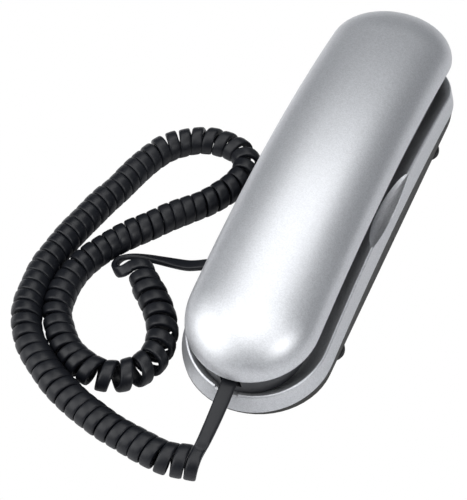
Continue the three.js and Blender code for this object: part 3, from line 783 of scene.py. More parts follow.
def coil_line(settings):
    """Centre line of the curly stretch, with the direction of the cord's wide side at each point."""
    step = 0.25
    axis = spline([(x, y, 0.0) for x, y in COIL_AXIS], step)
    half_thick = settings.thickness / MM / 2
    pitch_min = settings.pitch / MM
    last = len(axis) - 1
    bend = []
    for i in range(len(axis)):
        a, b, c = axis[max(0, i - 12)], axis[i], axis[min(last, i + 12)]
        turn = (b - a).angle(c - b, 0.0) if 0 < i < last else 0.0
        bend.append(turn / max((c - a).length / 2, 1e-6))
    soft = [sum(bend[max(0, i - 16):i + 17]) / len(bend[max(0, i - 16):i + 17]) for i in range(len(bend))]
    wound = COIL_START
    line = []
    next_turn = 0.0
    turn_step = 2 * math.pi / settings.steps
    for i, centre in enumerate(axis):
        share = i / last
        wobble = 0.10 * math.sin(share * 61.0) + 0.07 * math.sin(share * 143.0 + 1.0)
        outer = blend_between(COIL_RADII, share) + wobble
        radius = outer - half_thick
        pitch = min(pitch_min / max(0.4, 1.0 - 0.8 * soft[i] * radius), pitch_min * 1.45)
        pitch *= 1.0 + 0.03 * math.sin(share * 211.0) + 0.03 * math.sin(share * 87.0 + 2.0)
        pitch *= blend_between(COIL_SLACK, share)
        along = (axis[min(last, i + 1)] - axis[max(0, i - 1)]).normalized()
        side = Vector((0, 0, 1)).cross(along)
        total = wound + (2 * math.pi * step / pitch if i else 0.0)
        while next_turn <= total - COIL_START and i:
            angle = next_turn + COIL_START
            t = (angle - wound) / max(total - wound, 1e-9)
            here = axis[i - 1].lerp(centre, t)
            out = Vector((0, 0, 1)) * math.cos(angle) + side * math.sin(angle)
            lift = outer + 0.05
            line.append((here + Vector((0, 0, lift)) + out * radius, along.copy(), out))
            next_turn += turn_step
        wound = total
    while not COIL_END[0] < angle_round(line[-1]) < COIL_END[1]:
        line.pop()
    return line


def angle_round(place):
    """Angle round the coil, from its top, of one place on the coil's centre line."""
    _, along, out = place
    return math.atan2(out.dot(Vector((0, 0, 1)).cross(along)), out.z)


def section_points(centre, tangent, wide, half_width, half_thick, corners):
    """One cross-section of the flat cord, with rounded edges."""
    wide = (wide - tangent * wide.dot(tangent)).normalized()
    thin = tangent.cross(wide).normalized()
    points = []
    for i in range(corners):
        a = 2 * math.pi * i / corners
        c, s = math.cos(a), math.sin(a)
        flat = math.copysign(abs(c) ** SQUARENESS, c)
        round_off = math.copysign(abs(s) ** SQUARENESS, s)
        points.append(centre + wide * half_width * flat + thin * half_thick * round_off)
    return points


class PHONE_OT_cord(bpy.types.Operator):
    """Winds the curly cord with its two flat leads, in two pieces that meet at the first turn"""
    bl_idname = "phone.cord"
    bl_label = "Curly cord"

    def execute(self, context):
        settings = context.scene.phone_cord
        coil = coil_line(settings)
        first, last = coil[0], coil[-1]
        start_run = [*HANDSET_LEAD, tuple(first[0] - (coil[1][0] - first[0])), tuple(first[0])]
        end_run = [tuple(last[0]), tuple(last[0] + (last[0] - coil[-2][0])), *BASE_LEAD]
        lead_in = spline(start_run, LEAD_STEP)[:-1]
        lead_out = spline(end_run, LEAD_STEP)[1:]
        path, wides = [], []
        for i, point in enumerate(lead_in):
            path.append(point)
            wides.append(WIDE_AT_HANDSET.lerp(first[1], i / len(lead_in)))
        for point, along, _ in coil:
            path.append(point)
            wides.append(along)
        for i, point in enumerate(lead_out):
            t = (i + 1) / len(lead_out)
            if t < EDGE_BY:
                wide = last[1].lerp(WIDE_ON_EDGE, t / EDGE_BY)
            else:
                wide = WIDE_ON_EDGE.lerp(WIDE_AT_BASE, min(1.0, (t - EDGE_BY) / TURN_OVER))
            path.append(point)
            wides.append(wide)
        split = len(lead_in)
        lead = self.jacket("handset_lead", path[:split + 1], wides[:split + 1], path[:split + 2],
                           LEAD_WIDENING)
        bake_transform(lead)
        self.declare(lead, path[:split + 1], ("handset_cord_lead",))
        coil_piece = self.jacket("coil_and_base_lead", path[split:], wides[split:], path[split - 1:])
        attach(coil_piece, "base")
        self.declare(coil_piece, path[split:], ("curly_cord", "base_cord_lead"))
        return {"FINISHED"}

    @staticmethod
    def jacket(name, path, wides, longer, widen=1.0):
        """The flat cord's surface along a path; the longer path gives its direction where it was split.

        widen is how much wider than the rest of the cord its first end is.
        """
        settings = bpy.context.scene.phone_cord
        half_width = settings.width / MM / 2
        half_thick = settings.thickness / MM / 2
        corners = CORD_CORNERS
        first = 1 if longer[0] != path[0] else 0
        points = []
        for i, (centre, wide) in enumerate(zip(path, wides)):
            k = i + first
            tangent = (longer[min(k + 1, len(longer) - 1)] - longer[max(k - 1, 0)]).normalized()
            share = i / (len(path) - 1)
            wider = widen + (1.0 - widen) * share * share
            points += section_points(centre, tangent, wide, half_width * wider, half_thick, corners)
        faces = ring_faces(0, corners, len(path))
        faces.append(tuple(range(corners)))
        faces.append(tuple(len(points) - corners + k for k in reversed(range(corners))))
        return mesh_piece(name, points, faces, MATERIALS["cord_pvc"], math.radians(60))

    @staticmethod
    def declare(piece, path, nodes):
        """Hides the CAD nodes that the cord piece stands for."""
        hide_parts(*nodes)


# ------------------------------------------------------------------ handset shells
class PHONE_OT_handset_back(bpy.types.Operator):
    """Moulds the handset's crowned silver back with its rounded lip"""
    bl_idname = "phone.handset_back"
    bl_label = "Handset back"

    def execute(self, context):
        places = outline()
        rings = []

        def dome(inset, steps, order):
            """Adds the rings of the crowned shell, drawn in by the inset."""
            for i in order(range(steps + 1)):
                angle = math.pi / 2 * (1 - i / steps)
                across = 0.0 if i == 0 else math.cos(angle) ** (2 / CROWN_ROUNDNESS)
                up = (CROWN_HEIGHT - inset) * math.sin(angle) ** (2 / CROWN_ROUNDNESS)
                rings.append(((SHELL_HALF_WIDTH - inset) * across, up))

        dome(0.0, 30, lambda r: list(r)[:-1])
        rings.extend([(SHELL_HALF_WIDTH, 0.55), (SHELL_HALF_WIDTH - 0.12, 0.2),
                      (SHELL_HALF_WIDTH - 0.45, 0.0), (SHELL_HALF_WIDTH - WALL + 0.2, 0.0)])
        dome(WALL, 14, lambda r: list(r)[::-1])
        points = []
        for half_width, up in rings:
            for place in places:
                x, y = place_at(place, half_width, SPINE)
                points.append((x, y, handset_edge(y) + up))
        shell = mesh_piece("handset_back", points, ring_faces(0, len(places), len(rings)),
                           MATERIALS["silver_paint"], math.radians(50))
        settle(shell, "handset", ("handset_back_shell",))
        return {"FINISHED"}


# ------------------------------------------------------------------ handset front and keypad
KEY_WIDTH, KEY_LENGTH = 9.0, 6.5
KEY_PITCH_X, KEY_PITCH_Y = 13.5, 11.5
KEY_ROWS = (
    ("key_1", "key_2", "key_3"), ("key_4", "key_5", "key_6"), ("key_7", "key_8", "key_9"),
    ("key_star", "key_0", "key_hash"), ("key_flash", "key_redial", "key_mute"),
)
RECEIVER_Y = 73.5
MICROPHONE_Y = -73.0
HANDSET_SCREWS = {"upper_handset_screw": 50.0, "lower_handset_screw": -52.0}
HANDSET_JACK_Y, JACK_HEIGHT = -94.6, 21.0


def key_places():
    """Place and name of each key; the keypad is seen from below, so its left column lies at +X."""
    for row, names in enumerate(KEY_ROWS):
        for column, name in enumerate(names):
            yield (1 - column) * KEY_PITCH_X, (2 - row) * KEY_PITCH_Y, name


class PHONE_OT_handset_front(bpy.types.Operator):
    """Moulds the handset's dark front with its key windows, sound holes, screw wells and cord socket"""
    bl_idname = "phone.handset_front"
    bl_label = "Handset front"

    def execute(self, context):
        places = outline(quarter=18, side=72)
        rings = [(w, lambda y: handset_face(y)) for w in (0.0, 8.0, 15.0, 19.0)]
        for i in range(1, 6):
            a = math.radians(90 * i / 5)
            rings.append((19.9 + 1.35 * math.sin(a),
                          lambda y, a=a: handset_face(y) + 1.3 * (1 - math.cos(a))))
        rim = 25.0

        def side(t, y):
            """Height of the side wall at a share of its climb."""
            low = handset_face(y) + 1.3
            return low + (handset_edge(y) - 0.3 - low) * t

        for t in (0.25, 0.5, 0.75, 0.93):
            rings.append((21.25 + (rim - 21.25) * t, lambda y, t=t: side(t, y)))
        rings += [(rim, lambda y: handset_edge(y) - 0.6), (rim - 0.3, lambda y: handset_edge(y) - 0.3),
                  (rim - 2.0, lambda y: handset_edge(y) - 0.3), (19.4, lambda y: handset_face(y) + 2.2),
                  (9.0, lambda y: handset_face(y) + 2.2), (0.0, lambda y: handset_face(y) + 2.2)]
        points = []
        for half_width, height in rings:
            for place in places:
                x, y = place_at(place, half_width, SPINE)
                points.append((x, y, height(y)))
        shell = mesh_piece("handset_front", points, ring_faces(0, len(places), len(rings)),
                           MATERIALS["charcoal_plastic"])
        cutters = []
        wells = []
        for x, y, _ in key_places():
            half_x, half_y = KEY_WIDTH / 2 + 0.3, KEY_LENGTH / 2 + 0.3
            wells.append(stacked("well", x, y, [
                (half_x + 0.35, half_y + 0.35, 2.2, 20.0), (half_x + 0.35, half_y + 0.35, 2.2, 22.55),
                (half_x, half_y, 1.9, 22.95), (half_x, half_y, 1.9, 26.0)], None))
        cutters.append(join_pieces("wells", wells))
        holes = [(5.0 * math.cos(math.pi / 3 * i), 5.0 * math.sin(math.pi / 3 * i)) for i in range(6)]
        holes = [(0.0, 0.0), *holes]
        sound = [tilted_to_face(turned("hole", x, y, [(1.35, -1.0), (1.35, 0.02), (0.9, 0.45), (0.9, 5.0)],
                                       None, 24), RECEIVER_Y) for x, y in holes]
        sound += [tilted_to_face(turned("hole", x, 0, [(1.35, -1.0), (1.35, 0.02), (0.9, 0.45), (0.9, 5.0)],
                                        None, 24), MICROPHONE_Y) for x in (-2.2, 2.2)]
        cutters.append(join_pieces("sound_holes", sound))
        screw_wells = []
        for y in HANDSET_SCREWS.values():
            face = handset_face(y)
            profile = [(3.5, 18.0), (3.5, face + 0.05), (3.1, face + 0.4), (3.1, face + 2.6)]
            screw_wells.append(turned("well", 0, y, profile, None))
        cutters.append(join_pieces("screw_wells", screw_wells))
        cutters.append(soft_block("cord_hole", -4.2, 4.2, -108, -94, JACK_HEIGHT - 3.2, JACK_HEIGHT + 3.2,
                                  None, corner=1.0))
        carve(shell, cutters)
        settle(shell, "handset", ("handset_front_shell",))
        return {"FINISHED"}


# Strokes of each figure on a grid four wide and six high, from the lower left corner.
FIGURES = {
    "1": (((1, 5), (2, 6), (2, 0)),),
    "2": (((0, 5), (1, 6), (3, 6), (4, 5), (4, 4), (0, 0), (4, 0)),),
    "3": (((0, 5), (1, 6), (3, 6), (4, 5), (4, 4), (3, 3), (4, 2), (4, 1), (3, 0), (1, 0), (0, 1)),
          ((1.5, 3), (3, 3))),
    "4": (((3, 0), (3, 6), (0, 2), (4, 2)),),
    "5": (((4, 6), (0, 6), (0, 3.4), (3, 3.6), (4, 2.6), (4, 1), (3, 0), (1, 0), (0, 1)),),
    "6": (((3.5, 6), (1, 5), (0, 3), (0, 1), (1, 0), (3, 0), (4, 1), (4, 2.3), (3, 3.3), (1, 3.3),
           (0, 2.3)),),
    "7": (((0, 6), (4, 6), (1.5, 0)),),
    "8": (((1, 3.1), (0, 4), (0, 5), (1, 6), (3, 6), (4, 5), (4, 4), (3, 3.1), (1, 3.1), (0, 2.2), (0, 1),
           (1, 0), (3, 0), (4, 1), (4, 2.2), (3, 3.1)),),
    "9": (((0.5, 0), (3, 1), (4, 3), (4, 5), (3, 6), (1, 6), (0, 5), (0, 3.7), (1, 2.7), (3, 2.7),
           (4, 3.7)),),
    "0": (((1, 0), (0, 1), (0, 5), (1, 6), (3, 6), (4, 5), (4, 1), (3, 0), (1, 0)),),
    "star": (((2, 1), (2, 5)), ((0.3, 2), (3.7, 4)), ((0.3, 4), (3.7, 2))),
    "hash": (((1.2, 0.8), (1.2, 5.2)), ((2.8, 0.8), (2.8, 5.2)), ((0, 2.2), (4, 2.2)), ((0, 3.8), (4, 3.8))),
    "flash": (((0.4, 3), (3.6, 3)),),
    "redial": (((3.6, 4.4), (2.6, 5), (1.2, 4.8), (0.4, 3.6), (0.6, 2), (1.8, 1), (3.2, 1.4), (3.8, 2.6)),
               ((3.7, 5.6), (3.6, 4.4), (2.5, 4.1))),
    "mute": (((2, 1), (2, 5)), ((0.4, 3), (0.4, 3.01)), ((3.6, 3), (3.6, 3.01))),
}


def figure_mesh(name, key, x, y, face, size=0.56, stroke=0.27, proud=0.04):
    """A key's figure in thin raised ink, which reads rightly from below."""
    pieces = []
    for line in FIGURES[key]:
        for (ax, ay), (bx, by) in zip(line, line[1:]):
            a = Vector((x - (ax - 2) * size, y + (ay - 3) * size))
            b = Vector((x - (bx - 2) * size, y + (by - 3) * size))
            along = (b - a).normalized() * stroke
            points = []
            for z in (face - proud, face + 0.15):
                for centre, start in ((b, -90), (a, 90)):
                    for i in range(5):
                        turn = Matrix.Rotation(math.radians(start + 45 * i), 2)
                        side = turn @ along
                        points.append((centre.x + side.x, centre.y + side.y, z))
            faces = ring_faces(0, 10, 2)
            faces += [tuple(reversed(range(10))), tuple(range(10, 20))]
            pieces.append(mesh_piece("stroke", points, faces, MATERIALS["figure_ink"]))
    return join_pieces(name, pieces)


class PHONE_OT_keypad(bpy.types.Operator):
    """Makes the fifteen keys with their domed caps and plain figures"""
    bl_idname = "phone.keypad"
    bl_label = "Keypad"

    def execute(self, context):
        flange = FACE_FLAT + 2.5
        low = FACE_FLAT - 1.4
        for x, y, name in key_places():
            half_x, half_y = KEY_WIDTH / 2, KEY_LENGTH / 2
            sections = [
                (0.3, 0.2, 0.1, low + 0.10), (half_x - 2.4, half_y - 2.0, 0.9, low + 0.06),
                (half_x - 1.1, half_y - 1.0, 1.2, low), (half_x - 0.55, half_y - 0.5, 1.6, low + 0.1),
                (half_x - 0.2, half_y - 0.17, 1.7, low + 0.36),
                (half_x - 0.05, half_y - 0.03, 1.8, low + 0.8),
                (half_x, half_y, 1.8, low + 1.4), (half_x, half_y, 1.8, flange),
                (half_x + 0.9, half_y + 0.9, 1.0, flange), (half_x + 0.9, half_y + 0.9, 1.0, flange + 0.9),
            ]
            cap = stacked("cap", x, y, sections, MATERIALS["key_plastic"], steps=7)
            figure = figure_mesh("figure", name[4:], x, y, low + 0.06)
            key = join_pieces(name + "_cap", [cap, figure])
            settle(key, name, (name,))
        return {"FINISHED"}


# ------------------------------------------------------------------ base shells
def scoop_floor(y):
    """Height of the finger scoop's floor, or None where there is no scoop."""
    away = abs(y - SCOOP_Y)
    if away >= SCOOP_RADIUS:
        return None
    return rim_height(0) + SCOOP_RADIUS - SCOOP_DEPTH - math.sqrt(SCOOP_RADIUS ** 2 - away ** 2)


class PHONE_OT_base_top(bpy.types.Operator):
    """Moulds the base's silver top with its rim, cradle slope, finger scoops and cord notch"""
    bl_idname = "phone.base_top"
    bl_label = "Base top"

    def execute(self, context):
        edges = [math.radians(a) for a in (-14.8, -14.4, 5.0, 5.4)]
        places = outline(quarter=22, side=96, extra=edges)
        columns = []
        for place in places:
            sine, cosine, _ = place
            angle = math.degrees(math.atan2(sine, -cosine)) if cosine < 0 else 90.0
            notched = -14.5 < angle < 5.1 and cosine < 0
            columns.append(self.column(place, notched))
        rows = len(columns[0])
        points = [columns[k][r] for r in range(rows) for k in range(len(columns))]
        shell = mesh_piece("base_top", points, ring_faces(0, len(columns), rows),
                           MATERIALS["silver_paint"], math.radians(28))
        settle(shell, "base", ("base_top_shell",))
        return {"FINISHED"}

    def column(self, place, notched):
        """Points of one upright section, from the middle of the cradle floor over the rim and back under."""
        def at(inset, height_of, shift=0.0):
            """The point that lies in from the seam by the inset, at a height of its own."""
            x, y = place_at(place, SEAM_HALF_WIDTH - inset, BASE_SPINE)
            return Vector((x, y, height_of(y) + shift))

        sink = 1.0 if notched else 0.0
        foot = at(9.4, well_height, 0.1)
        slope = []
        for i in range(12):
            t = (i + 0.6) / 11.6
            rise = math.sin(1.32 * t) ** 1.2 / math.sin(1.32) ** 1.2
            low = at(8.9 - 6.6 * t, well_height)
            high = at(8.9 - 6.6 * t, rim_height, -sink)
            slope.append(low.lerp(high, rise))
        brow = [at(1.95, rim_height, -0.06 - sink), at(1.68, rim_height, -0.28 - 0.8 * sink),
                at(1.52, rim_height, -0.65 - 0.6 * sink), at(1.42, rim_height, -1.1 - 0.4 * sink)]
        seam = at(0.0, seam_height)
        wall = [brow[-1].lerp(seam, t) for t in (0.0, 0.2, 0.4, 0.6, 0.8, 1.0)][1:]
        crest = slope[-1]
        floor = scoop_floor(crest.y) if abs(place[0]) == 1.0 else None
        if floor is not None and floor < crest.z:
            below = max(i for i, point in enumerate(slope) if point.z <= floor)
            inner = self.cross(slope[below], slope[below + 1], floor)
            outer = self.cross(seam, brow[-1], floor)
            slope = [slope[0].lerp(inner, t) if below < 1 else self.along(slope[:below + 1] + [inner], t)
                     for t in (0, 0.15, 0.3, 0.45, 0.6, 0.75, 0.88, 0.97)]
            deep = min(1.0, (crest.z - floor) / 1.2)
            for t, dip in ((0.01, -0.05), (0.06, -0.02), (0.2, 0.3), (0.42, 0.52)):
                point = inner.lerp(outer, t)
                point.z = floor - dip * deep
                slope.append(point)
            brow = []
            for t, dip in ((0.64, 0.45), (0.84, 0.2), (0.95, 0.0), (0.99, 0.06)):
                point = inner.lerp(outer, t)
                point.z = floor - dip * deep
                brow.append(point)
            wall = [outer.lerp(seam, t) for t in (0.1, 0.35, 0.6, 0.8, 1.0)]
        points = [at(SEAM_HALF_WIDTH - w, well_height) for w in (0.0, 5.0, 10.0, 15.0, 18.5)]
        points += [at(10.4, well_height, 0.02), foot, *slope, *brow, *wall]
        points += [at(0.25, seam_height, -0.05), at(1.6, seam_height, -0.05), at(1.9, seam_height, 0.1)]
        under = at(3.4, rim_height, -3.2 - sink)
        if floor is not None:
            under.z = min(under.z, floor - 2.4)
        points.append(under)
        points += [at(9.9, well_height, -1.7), at(12.0, well_height, -2.0)]
        points += [at(SEAM_HALF_WIDTH - w, well_height, -2.0) for w in (10.0, 0.0)]
        return points

    @staticmethod
    def along(line, share):
        """The point at a share of a line's length."""
        lengths = [(b - a).length for a, b in zip(line, line[1:])]
        rest = share * sum(lengths)
        for a, b, length in zip(line, line[1:], lengths):
            if rest <= length and length:
                return a.lerp(b, rest / length)
            rest -= length
        return line[-1].copy()

    @staticmethod
    def cross(low, high, height):
        """The point of a straight line at a height, kept between its ends."""
        t = (height - low.z) / (high.z - low.z)
        return low.lerp(high, min(1.0, max(0.0, t)))


RINGER_Y = -68.0
KEYHOLES = (54.5, -45.5)
# Place along the base, height, half length and half height of the openings for the cord, line and ringer.
SIDE_MOUTHS = ((-41.4, 9.2, 4.2, 3.2), (-22.0, 9.4, 4.9, 3.4), (10.0, 8.6, 4.0, 1.8))
BASE_SCREWS = (
    (-20.5, -67.0, "lower_left_base_screw"), (20.5, -67.0, "lower_right_base_screw"),
    (-20.5, 40.0, "upper_left_base_screw"), (20.5, 40.0, "upper_right_base_screw"),
)


class PHONE_OT_base_cover(bpy.types.Operator):
    """Moulds the base's dark bottom cover"""
    bl_idname = "phone.base_cover"
    bl_label = "Base cover"

    def execute(self, context):
        places = outline()
        rings = [(width, lambda y: COVER_BOTTOM) for width in (0.0, 14.0, 26.0, SEAM_HALF_WIDTH - 1.3)]
        rings += [(SEAM_HALF_WIDTH - 0.8, lambda y: COVER_BOTTOM + 0.15),
                  (SEAM_HALF_WIDTH - 0.55, lambda y: COVER_BOTTOM + 0.6)]
        for i in range(6):
            t = i / 5
            rings.append((
                SEAM_HALF_WIDTH - 0.5 + 0.4 * t,
                lambda y, t=t: COVER_BOTTOM + 0.9 + (seam_height(y) - 0.5 - COVER_BOTTOM - 0.9) * t))
        inside = COVER_BOTTOM + 1.55
        rings += [(SEAM_HALF_WIDTH - 0.35, lambda y: seam_height(y) - 0.3),
                  (SEAM_HALF_WIDTH - 1.8, lambda y: seam_height(y) - 0.3),
                  *((width, lambda y: inside) for width in (SEAM_HALF_WIDTH - 2.3, 14.0, 0.0))]
        points = []
        for half_width, height in rings:
            for place in places:
                x, y = place_at(place, half_width, BASE_SPINE)
                points.append((x, y, height(y)))
        cover = mesh_piece("base_cover", points, ring_faces(0, len(places), len(rings)),
                           MATERIALS["cover_plastic"])
        below = [self.keyhole(y) for y in KEYHOLES]
        below += [soft_post("hole", 6 * math.cos(math.pi / 3 * i), RINGER_Y + 6 * math.sin(math.pi / 3 * i),
                            1.1, 1.0, 6.5, edge=0.1, segments=24) for i in range(6)]
        well = [(3.5, 2.0), (3.5, COVER_BOTTOM + 0.05), (3.1, COVER_BOTTOM + 0.4), (3.1, 6.5)]
        below += [turned("well", x, y, well, None) for x, y, _ in BASE_SCREWS]
        sides = [soft_block("mouth", -33, -26, y - half_y, y + half_y, z - half_z, z + half_z, None,
                            corner=0.4) for y, z, half_y, half_z in SIDE_MOUTHS]
        carve(cover, [join_pieces("openings_below", below), join_pieces("openings_side", sides)])
        for x, y, _ in BASE_SCREWS:
            profile = [(3.1, 4.4), (4.0, 4.4), (4.0, 8.5), (3.8, 8.7), (1.6, 8.7), (1.6, 5.6), (3.1, 5.6),
                       (3.1, 4.4)]
            boss = turned("boss", x, y, profile, MATERIALS["cover_plastic"])
            cover = join_pieces("base_cover", [cover, boss])
        settle(cover, "base", ("base_bottom_cover",))
        return {"FINISHED"}

    @staticmethod
    def keyhole(y):
        """The outline of a wall keyhole, whose narrow end points up the wall."""
        around = []
        start = math.asin(2.1 / 4.5)
        for i in range(33):
            a = math.pi / 2 + start + (2 * math.pi - 2 * start) * i / 32
            around.append((4.5 * math.cos(a), y + 4.5 * math.sin(a)))
        for i in range(17):
            a = math.pi * i / 16
            around.append((2.1 * math.cos(a), y + 6.5 + 2.1 * math.sin(a)))
        count = len(around)
        points = [(px, py, z) for z in (2.0, 6.5) for px, py in around]
        faces = ring_faces(0, count, 2) + [tuple(reversed(range(count))), tuple(range(count, 2 * count))]
        return mesh_piece("keyhole", points, faces)


# ------------------------------------------------------------------ small pieces
def sized_block(node, material, corner=0.5, edge=0.2):
    """A soft block with the size and place of a CAD node."""
    low, high = (Vector(c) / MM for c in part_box(node))
    return soft_block(node + "_body", low.x, high.x, low.y, high.y, low.z, high.z, material, corner, edge)


def screw_piece(name, x, y, head_bottom, tip):
    """A pan-head screw with a cross recess and a rolled thread; it points up, and its head is below."""
    head_top = head_bottom + 1.7
    profile = [(0.0, head_bottom), (1.0, head_bottom + 0.02), (1.8, head_bottom + 0.12),
               (2.35, head_bottom + 0.4), (2.65, head_bottom + 0.85), (2.7, head_top - 0.1),
               (2.6, head_top), (1.3, head_top)]
    z = head_top + 0.4
    while z < tip - 1.2:
        profile += [(1.0, z), (1.3, z + 0.3)]
        z += 0.62
    profile += [(1.0, tip - 0.9), (0.25, tip - 0.05), (0.0, tip)]
    screw = turned(name, x, y, profile, MATERIALS["steel"], 32)
    cross = [soft_block("slot", x - a, x + a, y - b, y + b, head_bottom - 1.0, head_bottom + 0.9, None,
                        0.1, 0.05) for a, b in ((1.5, 0.35), (0.35, 1.5))]
    carve(screw, cross)
    return screw


class PHONE_OT_feet(bpy.types.Operator):
    """Makes the four round rubber feet with their rolled lower edges"""
    bl_idname = "phone.feet"
    bl_label = "Feet"

    def execute(self, context):
        for node in ("lower_left_foot", "lower_right_foot", "upper_left_foot", "upper_right_foot"):
            half_width, _, low, high = span(node)
            middle = (Vector(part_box(node)[0]) + Vector(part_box(node)[1])) / 2 / MM
            r = half_width
            profile = [(0.0, low + 0.12), (r * 0.45, low + 0.1), (r * 0.72, low), (r * 0.86, low + 0.04),
                       (r * 0.95, low + 0.3), (r * 0.99, low + 0.75), (r, low + 1.3), (r * 0.98, high - 0.2),
                       (r * 0.95, high), (0.0, high)]
            foot = turned(node + "_pad", middle.x, middle.y, profile, MATERIALS["rubber"])
            settle(foot, "base", (node,))
        return {"FINISHED"}


class PHONE_OT_screws(bpy.types.Operator):
    """Makes the two handset screws and the four base screws"""
    bl_idname = "phone.screws"
    bl_label = "Screws"

    def execute(self, context):
        for node, y in HANDSET_SCREWS.items():
            screw = screw_piece(node + "_turned", 0.0, y, handset_face(y) + 0.9, 38.0)
            settle(screw, "handset", (node,))
        for x, y, node in BASE_SCREWS:
            settle(screw_piece(node + "_turned", x, y, 3.5, well_height(y) - 2.2), "base", (node,))
        return {"FINISHED"}


def modular_jack(name, width, height, depth, mouth_width, mouth_height, material):
    """A modular jack about its mouth's centre, opening towards -Y, with four spring contacts."""
    body = soft_block(name, -width / 2, width / 2, 0, depth, -height / 2, height / 2, material, 0.4, 0.2)
    mouth = soft_block("mouth", -mouth_width / 2, mouth_width / 2, -1, depth - 1.2,
                       -mouth_height / 2, mouth_height / 2, None, 0.2, 0.1)
    latch = soft_block("latch", -1.6, 1.6, -1, depth * 0.6, -height, 0, None, 0.1, 0.1)
    carve(body, [mouth, latch])
    wires = [soft_block("wire", x - 0.16, x + 0.16, 4.2, depth - 1.3, mouth_height / 2 - 0.35,
                        mouth_height / 2 + 0.1, MATERIALS["steel"], 0.1, 0.08)
             for x in (-1.5, -0.5, 0.5, 1.5)]
    return join_pieces(name, [body, *wires])


def modular_plug(name, tail):
    """A clear modular plug pointing towards +Y, with its contacts, latch and crimped tail of flat cord."""
    body = soft_block(name, -3.8, 3.8, 0, 11, -2.75, 2.75, MATERIALS["clear_plastic"], 0.4, 0.3)
    latch = soft_block("latch", -1.4, 1.4, 1.5, 9.0, 2.5, 3.0, MATERIALS["clear_plastic"], 0.3, 0.12)
    blades = [soft_block("blade", x - 0.15, x + 0.15, 8.4, 10.6, -2.85, -1.0, MATERIALS["steel"], 0.1, 0.05)
              for x in (-1.5, -0.5, 0.5, 1.5)]
    points = []
    for y in (-tail, -tail + 0.1, 0.4):
        points += [tuple(p) for p in section_points(Vector((0, y, 0)), Vector((0, 1, 0)), Vector((1, 0, 0)),
                                                    2.4, 1.25, 20)]
    faces = ring_faces(0, 20, 3) + [tuple(range(20)), tuple(reversed(range(40, 60)))]
    cord = mesh_piece("tail", points, faces, MATERIALS["cord_pvc"], math.radians(60))
    return join_pieces(name, [body, latch, *blades, cord])


def turn_to_side(piece, x, y, z):
    """Turns a jack or plug that points along +Y to point along +X, and puts it in place."""
    piece.data.transform(Matrix.Translation(mm(x, y, z)) @ Matrix.Rotation(math.radians(-90), 4, "Z"))
    return piece


class PHONE_OT_sockets(bpy.types.Operator):
    """Makes the modular jacks and the cord's two clear plugs"""
    bl_idname = "phone.sockets"
    bl_label = "Jacks and plugs"

    def execute(self, context):
        jack = modular_jack("handset_jack", 11.2, 7.2, 12.5, 8.2, 6.2, MATERIALS["clear_plastic"])
        jack.data.transform(Matrix.Translation(mm(0, HANDSET_JACK_Y, JACK_HEIGHT)))
        settle(jack, "handset", ("handset_cord_jack",))
        plug = modular_plug("handset_plug", 6.9)
        plug.data.transform(Matrix.Translation(mm(0, HANDSET_JACK_Y - 0.1, JACK_HEIGHT)))
        settle(plug, "handset", ("handset_cord_plug",))
        line = modular_jack("line_socket", 13.0, 8.2, 14.0, 9.8, 6.8, MATERIALS["charcoal_plastic"])
        settle(turn_to_side(line, -27.5, -22.0, 9.4), "base", ("line_jack",))
        lower = modular_jack("cord_socket", 11.2, 7.2, 12.5, 8.2, 6.2, MATERIALS["charcoal_plastic"])
        settle(turn_to_side(lower, -27.5, -41.4, 9.2), "base", ("base_cord_jack",))
        settle(turn_to_side(modular_plug("base_plug", 2.4), -27.7, -41.4, 9.2), "base",
               ("base_cord_plug",))
        return {"FINISHED"}


